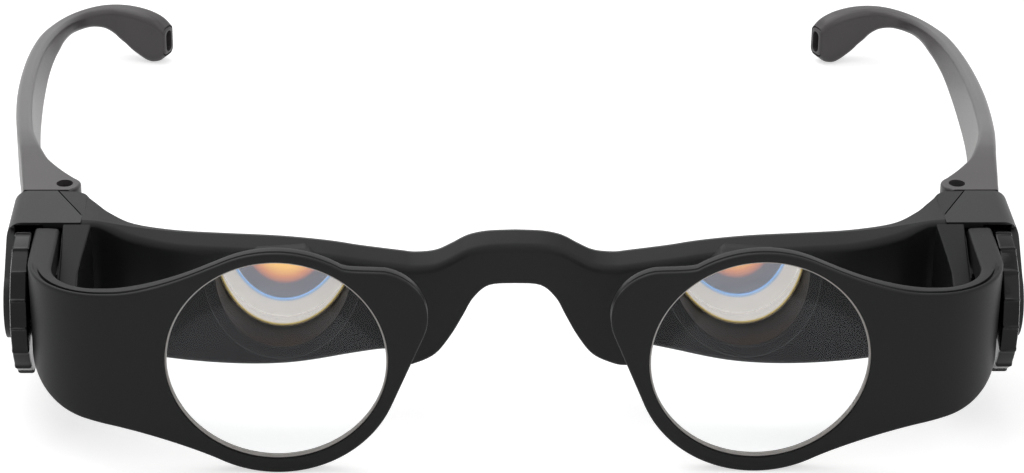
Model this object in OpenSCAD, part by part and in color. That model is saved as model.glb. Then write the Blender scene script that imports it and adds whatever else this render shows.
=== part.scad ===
// Binocular glasses: a spectacle frame with two small eyepiece lenses, and two
// wrap-round carriers with large objective lenses that slide fore and aft on it.
// A knurled wheel at each corner turns a pinion that meshes with the carrier's rack.
//
// The drawing frame has X across the face, the front towards -Y and Z up. It has X = 0
// midway between the eyes, Y = 0 on the carriers' front face and Z = 0 on the optical axes.
// placed() then stands the glasses on the ground. Left and right are the wearer's, and
// each half is drawn for the wearer's left (+X) and mirrored for the right.

/* [Optics] */
// Distance between the two optical axes
eye_spacing = 65.3; // [64:0.1:67]
// Clear diameter of each objective lens
objective_d = 30; // [29:0.1:30.6]
// Radius of curvature of both faces of the objective lens
objective_radius = 68; // [60:1:120]
// Thickness of the objective lens at its edge
objective_edge = 1.2; // [1:0.1:1.3]
// Clear diameter of each eyepiece lens
eyepiece_d = 13.8; // [12.6:0.1:14]
// Radius of curvature of both faces of the eyepiece lens
eyepiece_radius = 30; // [24:1:60]
// Thickness of the eyepiece lens at its edge
eyepiece_edge = 2.4; // [2:0.1:2.6]
// How far each lens reaches under the lip that holds it
lens_lip = 0.35; // [0.3:0.05:0.4]
// Thickness of the lip in front of each lens
lip_t = 0.5; // [0.4:0.1:0.6]

/* [Objective carriers] */
// Wall round each objective lens
rim_wall = 1.4; // [1.1:0.1:1.7]
// How far the rim's circle sits below the optical axis
rim_drop = 0.45; // [0.3:0.05:0.6]
// Thickness of the carrier's front wall
front_wall = 2.4; // [2.2:0.1:2.8]
// Reach from the optical axis to the outer face of the sliding arm
wing_reach = 33.9; // [33:0.1:35]
// Outer radius of the bend from the front wall to the arm
bend_r = 11; // [10:0.1:11.6]
// Thickness of the sliding arm
arm_t = 3.4; // [3:0.1:3.8]
// Height of the arm's top face above the optical axis
arm_top = 10.2; // [9.8:0.1:10.4]
// Length of the arm's tall part, from the front face
arm_length = 20.2; // [19.6:0.1:20.6]
// Depth of the wing's lower edge below the optical axis
wing_low = 10.6; // [10:0.1:11]
// Radius of the nose-side ear
ear_r = 7.05; // [6.5:0.05:7.3]
// Distance of the ear's centre from the optical axis, towards the nose
ear_in = 13.3; // [12.8:0.1:13.6]
// Height of the ear's centre above the optical axis
ear_up = 6.4; // [6:0.1:6.6]

/* [Focus gear] */
// Distance of the wheel's axle behind the carriers' front face
axle_y = 18.3; // [18:0.1:18.5]
// Diameter of the focus wheel
wheel_d = 20.4; // [20:0.1:20.6]
// Thickness of the focus wheel
wheel_w = 2.4; // [2:0.1:2.6]
// Number of grip scallops round the wheel
wheel_lobes = 16; // [12:1:20]
// Depth of a grip scallop
lobe_depth = 0.5; // [0.3:0.05:0.6]
// Module of the rack and pinion
gear_module = 0.5; // [0.48:0.01:0.54]
// Number of teeth on the pinion
pinion_teeth = 12; // [11:1:13]
// Diameter of the wheel's axle screw
axle_d = 1.6; // [1.4:0.1:1.8]
// How far the carrier slides forward from its rest place
travel_forward = 5; // [4:0.1:5.2]
// How far the carrier slides back from its rest place
travel_back = 0.7; // [0.4:0.05:0.7]

/* [Main frame] */
// Distance of the frame's front wall behind the carriers' front face
frame_front = 19.5; // [19.3:0.1:19.8]
// Thickness of the frame at the eyepieces
frame_t = 3.5; // [3.3:0.1:4]
// Length of the collar in front of each eyepiece lens
collar_length = 2.5; // [2:0.1:3]
// Wall of the collar round each eyepiece
collar_wall = 0.9; // [0.8:0.05:1]
// Height of the frame's ends above the optical axis
end_top = 10.5; // [10.4:0.1:10.8]
// Height of the nose bridge's top above the optical axis
bridge_top = 8.85; // [8.6:0.05:9.2]
// Height of the bridge's underside above the optical axis
bridge_under = 1.7; // [1.4:0.1:2.2]
// Depth of the frame's lower edge below the optical axis
frame_low = 11.4; // [11:0.1:11.8]
// Slope of the frame's top face towards the front
top_fall = 26; // [22:1:30]
// Thickness of the cheek that the carrier slides along
cheek_t = 2.6; // [2.4:0.1:3]
// Distance of the cheek's front end behind the carriers' front face
cheek_front = 10.6; // [10.4:0.1:11.2]
// Height and width of the guide rail on the cheek
rail = 1.2; // [1:0.1:1.3]

/* [Corner covers] */
// Distance of the cover's front edge behind the carriers' front face
cover_front = 21.2; // [21.2:0.1:21.6]
// Distance of the cover's rear edge behind the carriers' front face
cover_rear = 31.5; // [31.3:0.1:31.8]
// Thickness of the cover's top over the arm
cover_t = 0.9; // [0.8:0.05:1]
// Thickness of the cover's outer ear
ear_t = 1.1; // [1:0.05:1.3]
// Radius of the ear's round end about the axle
ear_end_r = 5.2; // [5:0.1:5.6]
// Diameter of the cover's fixing screw
screw_d = 1.4; // [1.2:0.1:1.6]

/* [Temples] */
// Distance of the hinge pin behind the carriers' front face
pin_y = 34.1; // [34.1:0.1:34.4]
// Distance of the hinge pin inside the arm's outer face
pin_in = 2.8; // [2.7:0.1:3]
// Diameter of the hinge pin
pin_d = 1.5; // [1.3:0.1:1.6]
// Radius of the knuckle round the hinge pin
knuckle_r = 2.2; // [2.1:0.05:2.3]
// Height of the frame's hinge lug
lug_h = 7; // [6:0.1:7.6]
// Depth of the temple root's lower edge below the optical axis
root_low = 7; // [6.6:0.1:7.4]
// Thickness of the temple arm
temple_t = 2.4; // [2.2:0.1:2.8]
// Length of the temple from the hinge pin to the back of its bend
temple_length = 112; // [108:0.5:116]

/* [Clearances] */
// Gap between sliding or turning faces
slide_gap = 0.3; // [0.25:0.01:0.32]
// Radial gap between a shaft and its bore
bore_gap = 0.04; // [0.03:0.01:0.06]
// Gap round parts that are fixed to each other
fit_gap = 0.02; // [0.01:0.01:0.04]

/* [Hidden] */
$fn = 96;

far = 200;
over = 0.5;

// Optics
lens_x = eye_spacing / 2;
objective_r = objective_d / 2 + lens_lip;
rim_r = objective_r + rim_wall;
objective_sag = sag(objective_r, objective_radius);
lens_front = lip_t + fit_gap + objective_sag - sag(objective_d / 2, objective_radius);
eyepiece_r = eyepiece_d / 2 + lens_lip;
eyepiece_front = frame_front + lip_t;
eyepiece_back = eyepiece_front + fit_gap + eyepiece_edge;

// Carriers
arm_out = lens_x + wing_reach;
arm_in = arm_out - arm_t;
bend_x = arm_out - bend_r;
inner_bend_r = 6.5;
inner_bend_x = arm_in - inner_bend_r;
inner_bend_y = front_wall + inner_bend_r;

// Gear
pitch_r = gear_module * pinion_teeth / 2;
tooth_pitch = PI * gear_module;
pressure = 20;
pinion_r = pitch_r + gear_module;
backlash = 0.1;
rack_line = pitch_r + 0.1;
rack_tip = rack_line - 0.7 * gear_module;
rack_root = rack_line + 1.3 * gear_module;
rack_teeth = ceil((travel_forward + travel_back) / tooth_pitch) + 4;
wheel_in = arm_out + slide_gap;
wheel_out = wheel_in + wheel_w;
wheel_pocket_r = wheel_d / 2 + 0.4;
ear_in_face = wheel_out + slide_gap;
ear_face = ear_in_face + ear_t;
notch_front = axle_y - travel_back - pinion_r - 0.4;

// Cheek, chamber and cover
cheek_out = arm_in - slide_gap;
cheek_in = cheek_out - cheek_t;
cover_top = end_top + 0.1;
cover_under = cover_top - cover_t;
tongue_top = cover_under - slide_gap - 0.1;
back_wall_t = 2.1;
back_wall_rear = cover_rear - 0.2;
back_wall_front = back_wall_rear - back_wall_t;
tongue_end = back_wall_front - travel_back - slide_gap;
rail_z = 5.4;
floor_top = -8.2;
floor_t = 0.9;
floor_front = 25;

// Screws
axle_head_r = axle_d / 2 + 0.8;
axle_head_t = 0.6;
screw_x = ear_in_face - 0.9;
screw_y = back_wall_rear - 1.9;
screw_head_r = screw_d / 2 + 0.6;
screw_head_t = 0.6;
screw_length = 4;
hinge_head_r = pin_d / 2 + 0.4;
hinge_head_t = 0.8;
head_sink = 0.9;

// Hinge
pin_x = arm_out - pin_in;
lug_top = 3.9;
lug_bottom = lug_top - lug_h;
root_front = cover_rear + 0.5;
root_top = end_top;

// Temple's tip
tip_out = 8.2;
tip_low = -10.3;
tip_top = root_top - 18.1;
recess_w = 1.8;
recess_h = 3.8;
recess_depth = 2.4;

// Standing place
rest_z = rim_r + rim_drop;
front_y = lens_front - objective_sag;
back_y = pin_y + max([for (p = arm_edge(0)) p[1]]);

function sag(half, radius) = radius - sqrt(radius * radius - half * half);
function arc(centre, r, from, to, steps) =
    [for (i = [0:steps]) let (a = from + (to - from) * i / steps)
        centre + r * [cos(a), sin(a)]];
function bezier(a, b, c, d, steps) =
    [for (i = [1:steps]) let (t = i / steps, s = 1 - t)
        s * s * s * a + 3 * s * s * t * b + 3 * s * t * t * c + t * t * t * d];
function between(a, b, c, d, t) =
    0.5 * (2 * b + (c - a) * t + (2 * a - 5 * b + 4 * c - d) * t * t
           + (3 * b - a - 3 * c + d) * t * t * t);
function smooth(rows, steps) = concat(
    [for (i = [0:len(rows) - 2]) for (k = [0:steps - 1])
        between(rows[max(i - 1, 0)], rows[i], rows[i + 1],
                rows[min(i + 2, len(rows) - 1)], k / steps)],
    [rows[len(rows) - 1]]);

// Stands the drawing on the ground, with Y = 0 at mid depth
module placed() {
    translate([0, -(front_y + back_y) / 2, rest_z]) children();
}

// Draws a left-hand piece as it is, and a right-hand one mirrored
module on_side(side) {
    if (side == "left") children();
    else mirror([1, 0, 0]) children();
}

// A flat shape drawn in (X, Z), as seen from the front, from y0 to y1
module front_view(y0, y1) {
    translate([0, y1, 0]) rotate([90, 0, 0]) linear_extrude(y1 - y0) children();
}

// A flat shape drawn in (Y, Z), as seen from the side, from x0 to x1
module side_view(x0, x1) {
    translate([x0, 0, 0]) rotate([90, 0, 90]) linear_extrude(x1 - x0) children();
}

// A flat shape drawn in (X, Y), as seen from above, from z0 to z1
module plan_view(z0, z1) {
    translate([0, 0, z0]) linear_extrude(z1 - z0) children();
}

module y_rod(x, z, r, y0, y1) {
    translate([x, y1, z]) rotate([90, 0, 0]) cylinder(r = r, h = y1 - y0);
}

module x_rod(y, z, r, x0, x1) {
    translate([x0, y, z]) rotate([0, 90, 0]) cylinder(r = r, h = x1 - x0);
}

module z_rod(x, y, r, z0, z1) {
    translate([x, y, z0]) cylinder(r = r, h = z1 - z0);
}

// Outline of a carrier seen from the front, clockwise from the rim's top
function carrier_outline() =
    let (rim = [lens_x, -rim_drop], ear = [lens_x - ear_in, ear_up],
         top_a = 66, low_a = -62, side_x = arm_out + over,
         top_p = rim + rim_r * [cos(top_a), sin(top_a)],
         top_d = [sin(top_a), -cos(top_a)],
         low_p = rim + rim_r * [cos(low_a), sin(low_a)],
         low_d = [-sin(low_a), cos(low_a)],
         to_ear = ear - rim,
         nose_a = atan2(to_ear[1], to_ear[0]) + acos((rim_r - ear_r) / norm(to_ear)),
         notch_a = 122,
         notch_p = rim + rim_r * [cos(notch_a), sin(notch_a)])
    concat(
        arc(rim, rim_r, notch_a, top_a, 14),
        bezier(top_p, top_p + 4.5 * top_d, [bend_x - 6, arm_top], [bend_x - 1, arm_top], 8),
        [[side_x, arm_top], [side_x, -1.5]],
        bezier([side_x, -1.5], [arm_out - 0.2, -6], [bend_x + 7.5, -wing_low + 0.9],
               [bend_x + 3, -wing_low + 0.4], 8),
        bezier([bend_x + 3, -wing_low + 0.4], [bend_x - 4, -wing_low - 0.5],
               low_p + 3.4 * low_d, low_p, 8),
        arc(rim, rim_r, low_a - 4, nose_a - 360, 14),
        arc(ear, ear_r, nose_a, 100, 10),
        bezier(ear + ear_r * [cos(100), sin(100)], ear + [1.6, ear_r + 0.05],
               notch_p + [-1.2, -0.35], notch_p, 4));

// Plan of a carrier: front wall, bend and sliding arm
module carrier_plan() {
    x0 = lens_x - rim_r - 5;
    difference() {
        union() {
            translate([x0, 0]) square([bend_x - x0, bend_r]);
            translate([bend_x, bend_r]) circle(r = bend_r);
            translate([bend_x, bend_r]) square([bend_r, tongue_end - bend_r]);
        }
        translate([x0 - 1, front_wall]) square([inner_bend_x - x0 + 1, far]);
        translate([inner_bend_x - over, inner_bend_y])
            square([inner_bend_r + over, far]);
        translate([inner_bend_x, inner_bend_y]) circle(r = inner_bend_r);
    }
}

// Side view of what is cut from the arm: the pinion's notch and the cover's step
module arm_cuts() {
    polygon([[notch_front, -far], [notch_front, rack_root], [far, rack_root], [far, -far]]);
    translate([arm_length, tongue_top]) square([far, far]);
}

// One rack tooth, pointing down, about its own centre
module rack_tooth() {
    half = tooth_pitch / 4 - backlash / 2;
    tip_half = half - (rack_line - rack_tip) * tan(pressure);
    root_half = half + (rack_root - rack_line) * tan(pressure);
    polygon([[-tip_half, rack_tip], [tip_half, rack_tip],
             [root_half, rack_root], [root_half, rack_root + 0.2],
             [-root_half, rack_root + 0.2], [-root_half, rack_root]]);
}

module objective_carrier() {
    difference() {
        union() {
            difference() {
                intersection() {
                    plan_view(-far, far) carrier_plan();
                    front_view(-1, far) polygon(carrier_outline());
                }
                side_view(arm_in - over, arm_out + over) arm_cuts();
            }
            side_view(arm_in, arm_out)
                for (i = [0:rack_teeth - 1])
                    translate([axle_y + (i - 1.5) * tooth_pitch, 0]) rack_tooth();
        }
        // Groove that slides on the cheek's rail
        translate([arm_in - over, cheek_front + 1, rail_z - slide_gap / 2])
            cube([rail + slide_gap + over, far, rail + slide_gap]);
        // Lens opening and seat
        y_rod(lens_x, 0, objective_d / 2, -1, front_wall + 1);
        y_rod(lens_x, 0, objective_r + fit_gap, lip_t, front_wall + 1);
    }
}

module objective_lens() {
    middle = lens_front + objective_edge / 2;
    reach = objective_radius - objective_sag - objective_edge / 2;
    translate([lens_x, middle, 0]) intersection() {
        y_rod(0, 0, objective_r, -far / 2, far / 2);
        translate([0, reach, 0]) sphere(r = objective_radius, $fn = 360);
        translate([0, -reach, 0]) sphere(r = objective_radius, $fn = 360);
    }
}

// Bevelled ring that holds the objective lens from behind
module objective_ring() {
    seat = lens_front + objective_edge + fit_gap;
    inner = objective_d / 2 - 0.2;
    translate([lens_x, 0, 0]) rotate([-90, 0, 0]) rotate_extrude()
        polygon([[objective_r - 0.1, seat], [objective_r, seat],
                 [objective_r, front_wall], [inner, front_wall],
                 [inner, seat + 0.25]]);
}

function involute(phi) = tan(phi) * 180 / PI - phi;

// Outline of the pinion, with a tooth straight up
function pinion_outline() =
    let (base_r = pitch_r * cos(pressure), root_r = pitch_r - 1.35 * gear_module,
         half = 90 / pinion_teeth - backlash / pitch_r * 90 / PI,
         top_phi = acos(base_r / pinion_r), steps = 4)
    [for (i = [0:pinion_teeth - 1]) let (mid = 90 + i * 360 / pinion_teeth)
        each concat(
            [root_r * [cos(mid - half - 1.2), sin(mid - half - 1.2)]],
            [for (k = [0:steps]) let (phi = top_phi * k / steps, r = base_r / cos(phi),
                a = mid - half - involute(pressure) + involute(phi)) r * [cos(a), sin(a)]],
            [for (k = [steps:-1:0]) let (phi = top_phi * k / steps, r = base_r / cos(phi),
                a = mid + half + involute(pressure) - involute(phi)) r * [cos(a), sin(a)]],
            [root_r * [cos(mid + half + 1.2), sin(mid + half + 1.2)]])];

// Knurled wheel and pinion, moulded in one and drawn about the axle
module wheel_and_pinion() {
    r = wheel_d / 2;
    bevel = 0.35;
    scallop_r = 5.5;
    difference() {
        union() {
            rotate([90, 0, 90]) translate([0, 0, wheel_in]) rotate_extrude()
                polygon([[0, 0], [r - bevel, 0], [r, bevel], [r, wheel_w - bevel],
                         [r - bevel, wheel_w], [0, wheel_w]]);
            side_view(cheek_out + slide_gap, wheel_in + over) polygon(pinion_outline());
        }
        for (i = [0:wheel_lobes - 1]) rotate([(i + 0.5) * 360 / wheel_lobes, 0, 0])
            x_rod(r + scallop_r - lobe_depth, 0, scallop_r, wheel_in - 1, wheel_out + 1);
        x_rod(0, 0, axle_d / 2 + bore_gap, cheek_out - 1, wheel_out + 1);
        // Dished outer face
        x_rod(0, 0, r - 2.6, wheel_out - 0.5, wheel_out + 1);
    }
    rotate([90, 0, 90]) translate([0, 0, wheel_out - over - 0.2]) difference() {
        cylinder(r = axle_d / 2 + 1.2, h = over + 0.2);
        translate([0, 0, -1]) cylinder(r = axle_d / 2 + bore_gap, h = 3);
    }
}

module focus_wheel() {
    translate([0, axle_y, 0]) wheel_and_pinion();
}

// Screw that carries the wheel: its head lies flush in the ear, its end in the cheek
module wheel_axle() {
    difference() {
        union() {
            x_rod(axle_y, 0, axle_d / 2, cheek_in + 0.3, ear_face);
            x_rod(axle_y, 0, axle_head_r, ear_face - axle_head_t, ear_face);
        }
        translate([ear_face, axle_y, 0]) cube([0.6, 2 * axle_head_r + 1, 0.5], center = true);
    }
}

// Rows of the half frame from the bridge outwards: [x, lower edge, upper edge, front, rear]
function frame_rows() = let (f = frame_front, r = frame_front + frame_t,
                             u = -frame_low, e = cheek_in + 0.3)
    [[0, bridge_under, bridge_top, f, r],
     [3.6, bridge_under - 0.3, bridge_top - 0.15, f, r],
     [5.8, bridge_under - 2.3, bridge_top - 0.55, f, r],
     [7.2, u + 8.1, bridge_top - 1.1, f, r],
     [8.9, u + 4.9, bridge_top - 2.1, f, r],
     [11.1, u + 1.9, bridge_top - 3.15, f, r],
     [13.9, u + 0.4, 5.4, f, r],
     [lens_x - 16.6, u, 5.65, f, r],
     [lens_x - 14, u + 0.6, 6, f, r],
     [lens_x - 10.6, u + 1.9, 6.5, f, r],
     [lens_x - 6.5, u + 2, 7.2, f, r],
     [lens_x, u + 1.5, 7.9, f, r],
     [lens_x + 7.5, u + 1.4, 8.3, f, r],
     [lens_x + 14.5, u + 1.5, 8.7, f + 0.1, r],
     [e - 7.4, u + 1.7, end_top - 1.2, f + 0.9, r + 0.1],
     [e - 3.9, u + 1.9, end_top - 0.7, f + 2.1, r + 1.9],
     [e - 1.5, u + 2.2, end_top - 0.3, f + 3.3, r + 4.9],
     [e, u + 2.4, end_top, f + 4, back_wall_rear]];

// Outline from two columns of the half frame's rows, closed across both halves
function both_halves(rows, near, far_side) =
    let (n = len(rows))
    concat([for (i = [n - 1:-1:1]) [-rows[i][0], rows[i][near]]],
           [for (row = rows) [row[0], row[near]]],
           [for (i = [n - 1:-1:0]) [rows[i][0], rows[i][far_side]]],
           [for (i = [1:n - 1]) [-rows[i][0], rows[i][far_side]]]);

// The frame's bar: its plan and its front view, under a top that falls to the front
module frame_bar() {
    rows = smooth(frame_rows(), 3);
    crest_y = frame_front + frame_t - 0.6;
    intersection() {
        plan_view(-far, far) polygon(both_halves(rows, 3, 4));
        front_view(0, far) polygon(both_halves(rows, 1, 2));
        translate([0, crest_y, 0]) rotate([top_fall, 0, 0]) front_view(-far, far)
            polygon(both_halves([for (row = rows) [row[0], -far / 2, row[2] * cos(top_fall)]], 1, 2));
    }
}

// Side view of the cheek, from its rear end round its sloping front
function cheek_outline() =
    concat([[back_wall_rear, floor_top - floor_t], [back_wall_rear, cover_under - fit_gap],
            [axle_y + 3.7, cover_under - fit_gap]],
        bezier([axle_y + 3.7, cover_under - fit_gap], [axle_y, cover_under - 0.4],
               [cheek_front + 0.4, 7.6], [cheek_front, 5.2], 7),
        [[cheek_front, -5]],
        bezier([cheek_front, -5], [cheek_front, -8], [cheek_front + 3, -9],
               [cheek_front + 7, floor_top - floor_t], 5));

// Plan of the frame's top plate inboard of the cover's slanting seam
function seam_line(gap) = [[cheek_in - 0.2 + gap, axle_y + 4.9],
                           [pin_x + 0.5 + gap, cover_rear]];

module frame_end() {
    side_view(cheek_in, cheek_out) polygon(cheek_outline());
    // Guide rail
    translate([cheek_out - over, cheek_front + 2.5, rail_z])
        cube([rail + over, back_wall_front - cheek_front - 2.5, rail]);
    // Wall behind the gear, its floor, and the plate up to the seam
    translate([cheek_in, back_wall_front, floor_top - floor_t])
        cube([arm_out - cheek_in, back_wall_t, cover_under - fit_gap - floor_top + floor_t]);
    translate([cheek_in, floor_front, floor_top - floor_t])
        cube([ear_face - 0.6 - cheek_in, back_wall_rear - floor_front, floor_t]);
    plan_view(cover_under - 1, end_top)
        polygon(concat(seam_line(0), [[cheek_in, back_wall_rear]]));
    // Fillet between the cheek and the front wall, with its stiffening rib
    fillet_r = 4;
    fillet_y = frame_front + 4 - fillet_r;
    plan_view(-frame_low + 2.6, end_top - 1.2) difference() {
        translate([cheek_in - fillet_r, fillet_y]) square([fillet_r + 0.2, fillet_r + 0.4]);
        translate([cheek_in - fillet_r, fillet_y]) circle(r = fillet_r);
    }
    z_rod(cheek_in - 3.1, frame_front + 3.4, 0.6, -frame_low + 3, end_top - 1.6);
    // Hinge lug
    translate([pin_x - knuckle_r, back_wall_rear - over, lug_bottom])
        cube([2 * knuckle_r, pin_y - back_wall_rear + over, lug_h]);
    z_rod(pin_x, pin_y, knuckle_r, lug_bottom, lug_top);
}

module frame_end_bores() {
    x_rod(axle_y, 0, axle_d / 2 + fit_gap, cheek_in + 0.3 - fit_gap, cheek_out + 1);
    z_rod(pin_x, pin_y, pin_d / 2 + bore_gap, lug_bottom - 1, lug_top + 1);
    // Countersunk hole for the cover's screw
    z_rod(screw_x, screw_y, screw_d / 2 + fit_gap, floor_top - floor_t - 1, floor_top + 1);
    translate([screw_x, screw_y, floor_top - floor_t - fit_gap])
        cylinder(r1 = screw_head_r + fit_gap, r2 = screw_d / 2 + fit_gap, h = screw_head_t);
}

module eyepiece_bores() {
    y_rod(lens_x, 0, eyepiece_d / 2, 0, far);
    y_rod(lens_x, 0, eyepiece_r + fit_gap, eyepiece_front, far);
    translate([lens_x, frame_front - collar_length - 0.01, 0]) rotate([-90, 0, 0])
        cylinder(r1 = eyepiece_d / 2 + 0.5, r2 = eyepiece_d / 2, h = collar_length);
}

module main_frame() {
    color("#2d2d2e") placed() difference() {
        union() {
            frame_bar();
            for (side = ["left", "right"]) on_side(side) {
                frame_end();
                y_rod(lens_x, 0, eyepiece_r + collar_wall / 2 + 0.25,
                      frame_front - collar_length, frame_front + frame_t);
            }
        }
        for (side = ["left", "right"]) on_side(side) {
            frame_end_bores();
            eyepiece_bores();
        }
    }
}

// Concave lens of the eyepiece
module eyepiece_lens() {
    edge0 = eyepiece_front + fit_gap;
    edge1 = edge0 + eyepiece_edge;
    dish = sag(eyepiece_d / 2 - 0.9, eyepiece_radius);
    difference() {
        y_rod(lens_x, 0, eyepiece_r, edge0, edge1);
        translate([lens_x, edge0 + dish - eyepiece_radius, 0]) sphere(r = eyepiece_radius, $fn = 360);
        translate([lens_x, edge1 - dish + eyepiece_radius, 0]) sphere(r = eyepiece_radius, $fn = 360);
    }
}

// Ring that holds the eyepiece lens from the eye's side
module eyepiece_ring() {
    y0 = eyepiece_back + fit_gap;
    y1 = frame_front + frame_t + 0.5;
    difference() {
        y_rod(lens_x, 0, eyepiece_r, y0, y1);
        y_rod(lens_x, 0, eyepiece_d / 2 - 1, y0 - 1, y1 + 1);
        translate([lens_x, y1 - 0.4, 0]) rotate([-90, 0, 0])
            cylinder(r1 = eyepiece_d / 2 - 1, r2 = eyepiece_d / 2 - 0.4, h = 0.41);
    }
}

module cover_screw() {
    base = floor_top - floor_t;
    difference() {
        union() {
            z_rod(screw_x, screw_y, screw_d / 2, base + 0.1, base + screw_length);
            translate([screw_x, screw_y, base])
                cylinder(r1 = screw_head_r, r2 = screw_d / 2, h = screw_head_t);
        }
        translate([screw_x, screw_y, base]) cube([far, 0.4, 0.5], center = true);
    }
}

module cover_screws() {
    color("#8c8c90") placed()
        for (side = ["left", "right"]) on_side(side) cover_screw();
}

// Side view of the cover's outer wall and the ear that runs forward to the axle
module ear_outline() {
    z_top = cover_top - 0.6;
    z_low = floor_top;
    polygon(concat([[cover_rear, z_low], [cover_rear, z_top], [cover_front + 1.4, z_top]],
                   arc([axle_y, 0], ear_end_r, 90 + 25, 270, 12),
                   [[cover_front + 3.5, z_low]]));
    translate([axle_y, 0]) circle(r = ear_end_r);
}

// Cover over the gear: top plate, outer wall and ear, hollowed for arm and wheel
module corner_cover() {
    seam = seam_line(0.25);
    difference() {
        union() {
            intersection() {
                plan_view(cover_under, cover_top)
                    polygon([[cheek_in + 0.1, cover_front], seam[0], seam[1],
                             [ear_face, cover_rear], [ear_face, cover_front]]);
                cover_section();
            }
            intersection() {
                side_view(arm_out + 0.4, ear_face) ear_outline();
                cover_section();
            }
        }
        // Space for the wheel, and for the frame's back wall
        x_rod(axle_y, 0, wheel_pocket_r, arm_out - 1, ear_in_face);
        x_rod(axle_y, 0, axle_d / 2 + fit_gap, arm_out, ear_face + 1);
        x_rod(axle_y, 0, axle_head_r + fit_gap, ear_face - axle_head_t - fit_gap, ear_face + 1);
        z_rod(screw_x, screw_y, screw_d / 2 + fit_gap, floor_top - 1,
              floor_top - floor_t + screw_length + 0.2);
    }
}

// Section of the cover across its width, with the rounded outer edge
module cover_section() {
    round_r = 2.2;
    front_view(0, far) {
        translate([cheek_in - 1, floor_top - over])
            square([ear_face - round_r - cheek_in + 1, cover_top - floor_top + over]);
        translate([cheek_in - 1, floor_top - over])
            square([ear_face - cheek_in + 1, cover_top - round_r - floor_top + over]);
        translate([ear_face - round_r, cover_top - round_r]) circle(r = round_r);
    }
}

// Rows of the temple's arm along its outer edge, as distances from the hinge pin:
// [out, back, thickness, lower edge, upper edge]. Both edges end level.
function arm_rows() = let (t = temple_t, l = temple_length)
    [[7.3, 9.4, t + 0.2, -1.4, root_top],
     [8, 13.9, t + 0.2, 0.3, root_top],
     [9.4, 23, t, 0.4, root_top - 1.7],
     [10.9, l * 0.31, t, -1.2, root_top - 4.1],
     [12.3, l * 0.43, t, -3.5, root_top - 6.9],
     [13.4, l * 0.57, t, -5.5, root_top - 10.1],
     [13.9, l * 0.7, t, -7, root_top - 13],
     [13.6, l * 0.81, t, -8.2, root_top - 15.3],
     [12.3, l - 12, t + 0.1, -9.4, tip_top + 0.9],
     [10.5, l - 6, t + 0.3, tip_low, tip_top]];

// Rows of the tip, from the bend to its inner end; it starts level with the arm
function tip_rows() = let (t = temple_t, l = temple_length, g = -rest_z)
    [[tip_out, l - 2.9, t + 0.5, tip_low, tip_top],
     [5.6, l - 0.9, t + 0.8, tip_low - 0.9, tip_top],
     [3, l, t + 1.1, -12.7, tip_top - 0.1],
     [0.4, l - 0.1, t + 1.4, g + 2.9, tip_top - 0.1],
     [-2.1, l - 0.6, t + 1.6, g + 1.1, tip_top - 0.3],
     [-4.4, l - 1.3, t + 1.6, g, tip_top - 0.8],
     [-6.3, l - 2, t + 1.4, g + 0.3, tip_top - 1.7],
     [-7.6, l - 2.6, t + 1, g + 1.5, tip_top - 3.1]];

// Plan of one edge of the arm and tip, a share of the thickness in from the outer edge
function arm_edge(share) =
    let (rows = smooth(concat(arm_rows(), tip_rows()), 3), last = len(rows) - 1)
    [for (i = [0:last]) let (run = rows[min(i + 1, last)] - rows[max(i - 1, 0)],
                             inward = [-run[1], run[0]] / norm([run[0], run[1]]))
        [rows[i][0], rows[i][1]] + share * rows[i][2] * inward];

// Plan of the temple: knuckle, root, arm and tip
module temple_plan() {
    r = knuckle_r + 0.1;
    front = root_front - pin_y;
    inner = arm_edge(1);
    translate([pin_x, pin_y]) intersection() {
        union() {
            circle(r = r);
            polygon(concat([[0, front], [5.7, front]], arm_edge(0),
                           [for (i = [len(inner) - 1:-1:0]) inner[i]],
                           [[3.4, 6], [-r * sin(42), r * cos(42)]]));
        }
        translate([-10, front]) square([far, far]);
    }
}

// Side view of the root and the arm, whose level end runs on past the bend
module temple_side() {
    rows = [for (row = smooth(arm_rows(), 3)) if (row[1] > 14) row];
    polygon(concat(
        [[root_front - 1, root_top], [root_front - 1, -root_low], [pin_y + 2, -root_low]],
        bezier([pin_y + 2, -root_low], [pin_y + 6, -root_low], [pin_y + 8, -0.2],
               [pin_y + 13.9, 0.3], 7),
        [for (row = rows) [pin_y + row[1], row[3]]],
        [[back_y + 1, tip_low], [back_y + 1, tip_top]],
        [for (i = [len(rows) - 1:-1:0]) [pin_y + rows[i][1], rows[i][4]]],
        [[pin_y + 13.9, root_top]]));
}

// Front view of the tip, which drops to the ground as it turns inwards
module tip_front() {
    rows = smooth(tip_rows(), 3);
    end = rows[len(rows) - 1];
    polygon(concat(
        [[pin_x + tip_out + over, tip_top], [pin_x + tip_out + over, tip_low]],
        [for (row = rows) [pin_x + row[0], row[3]]],
        [[pin_x + end[0] - over, end[3] + over], [pin_x + end[0] - over, end[4] - over]],
        [for (i = [len(rows) - 1:-1:0]) [pin_x + rows[i][0], rows[i][4]]]));
}

module temple_body() {
    half_way = pin_y + temple_length / 2;
    intersection() {
        plan_view(-far, far) temple_plan();
        union() {
            difference() {
                side_view(0, far) temple_side();
                translate([0, half_way, -far / 2]) cube([pin_x + tip_out, far, far]);
            }
            front_view(half_way, far) tip_front();
        }
    }
}

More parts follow.
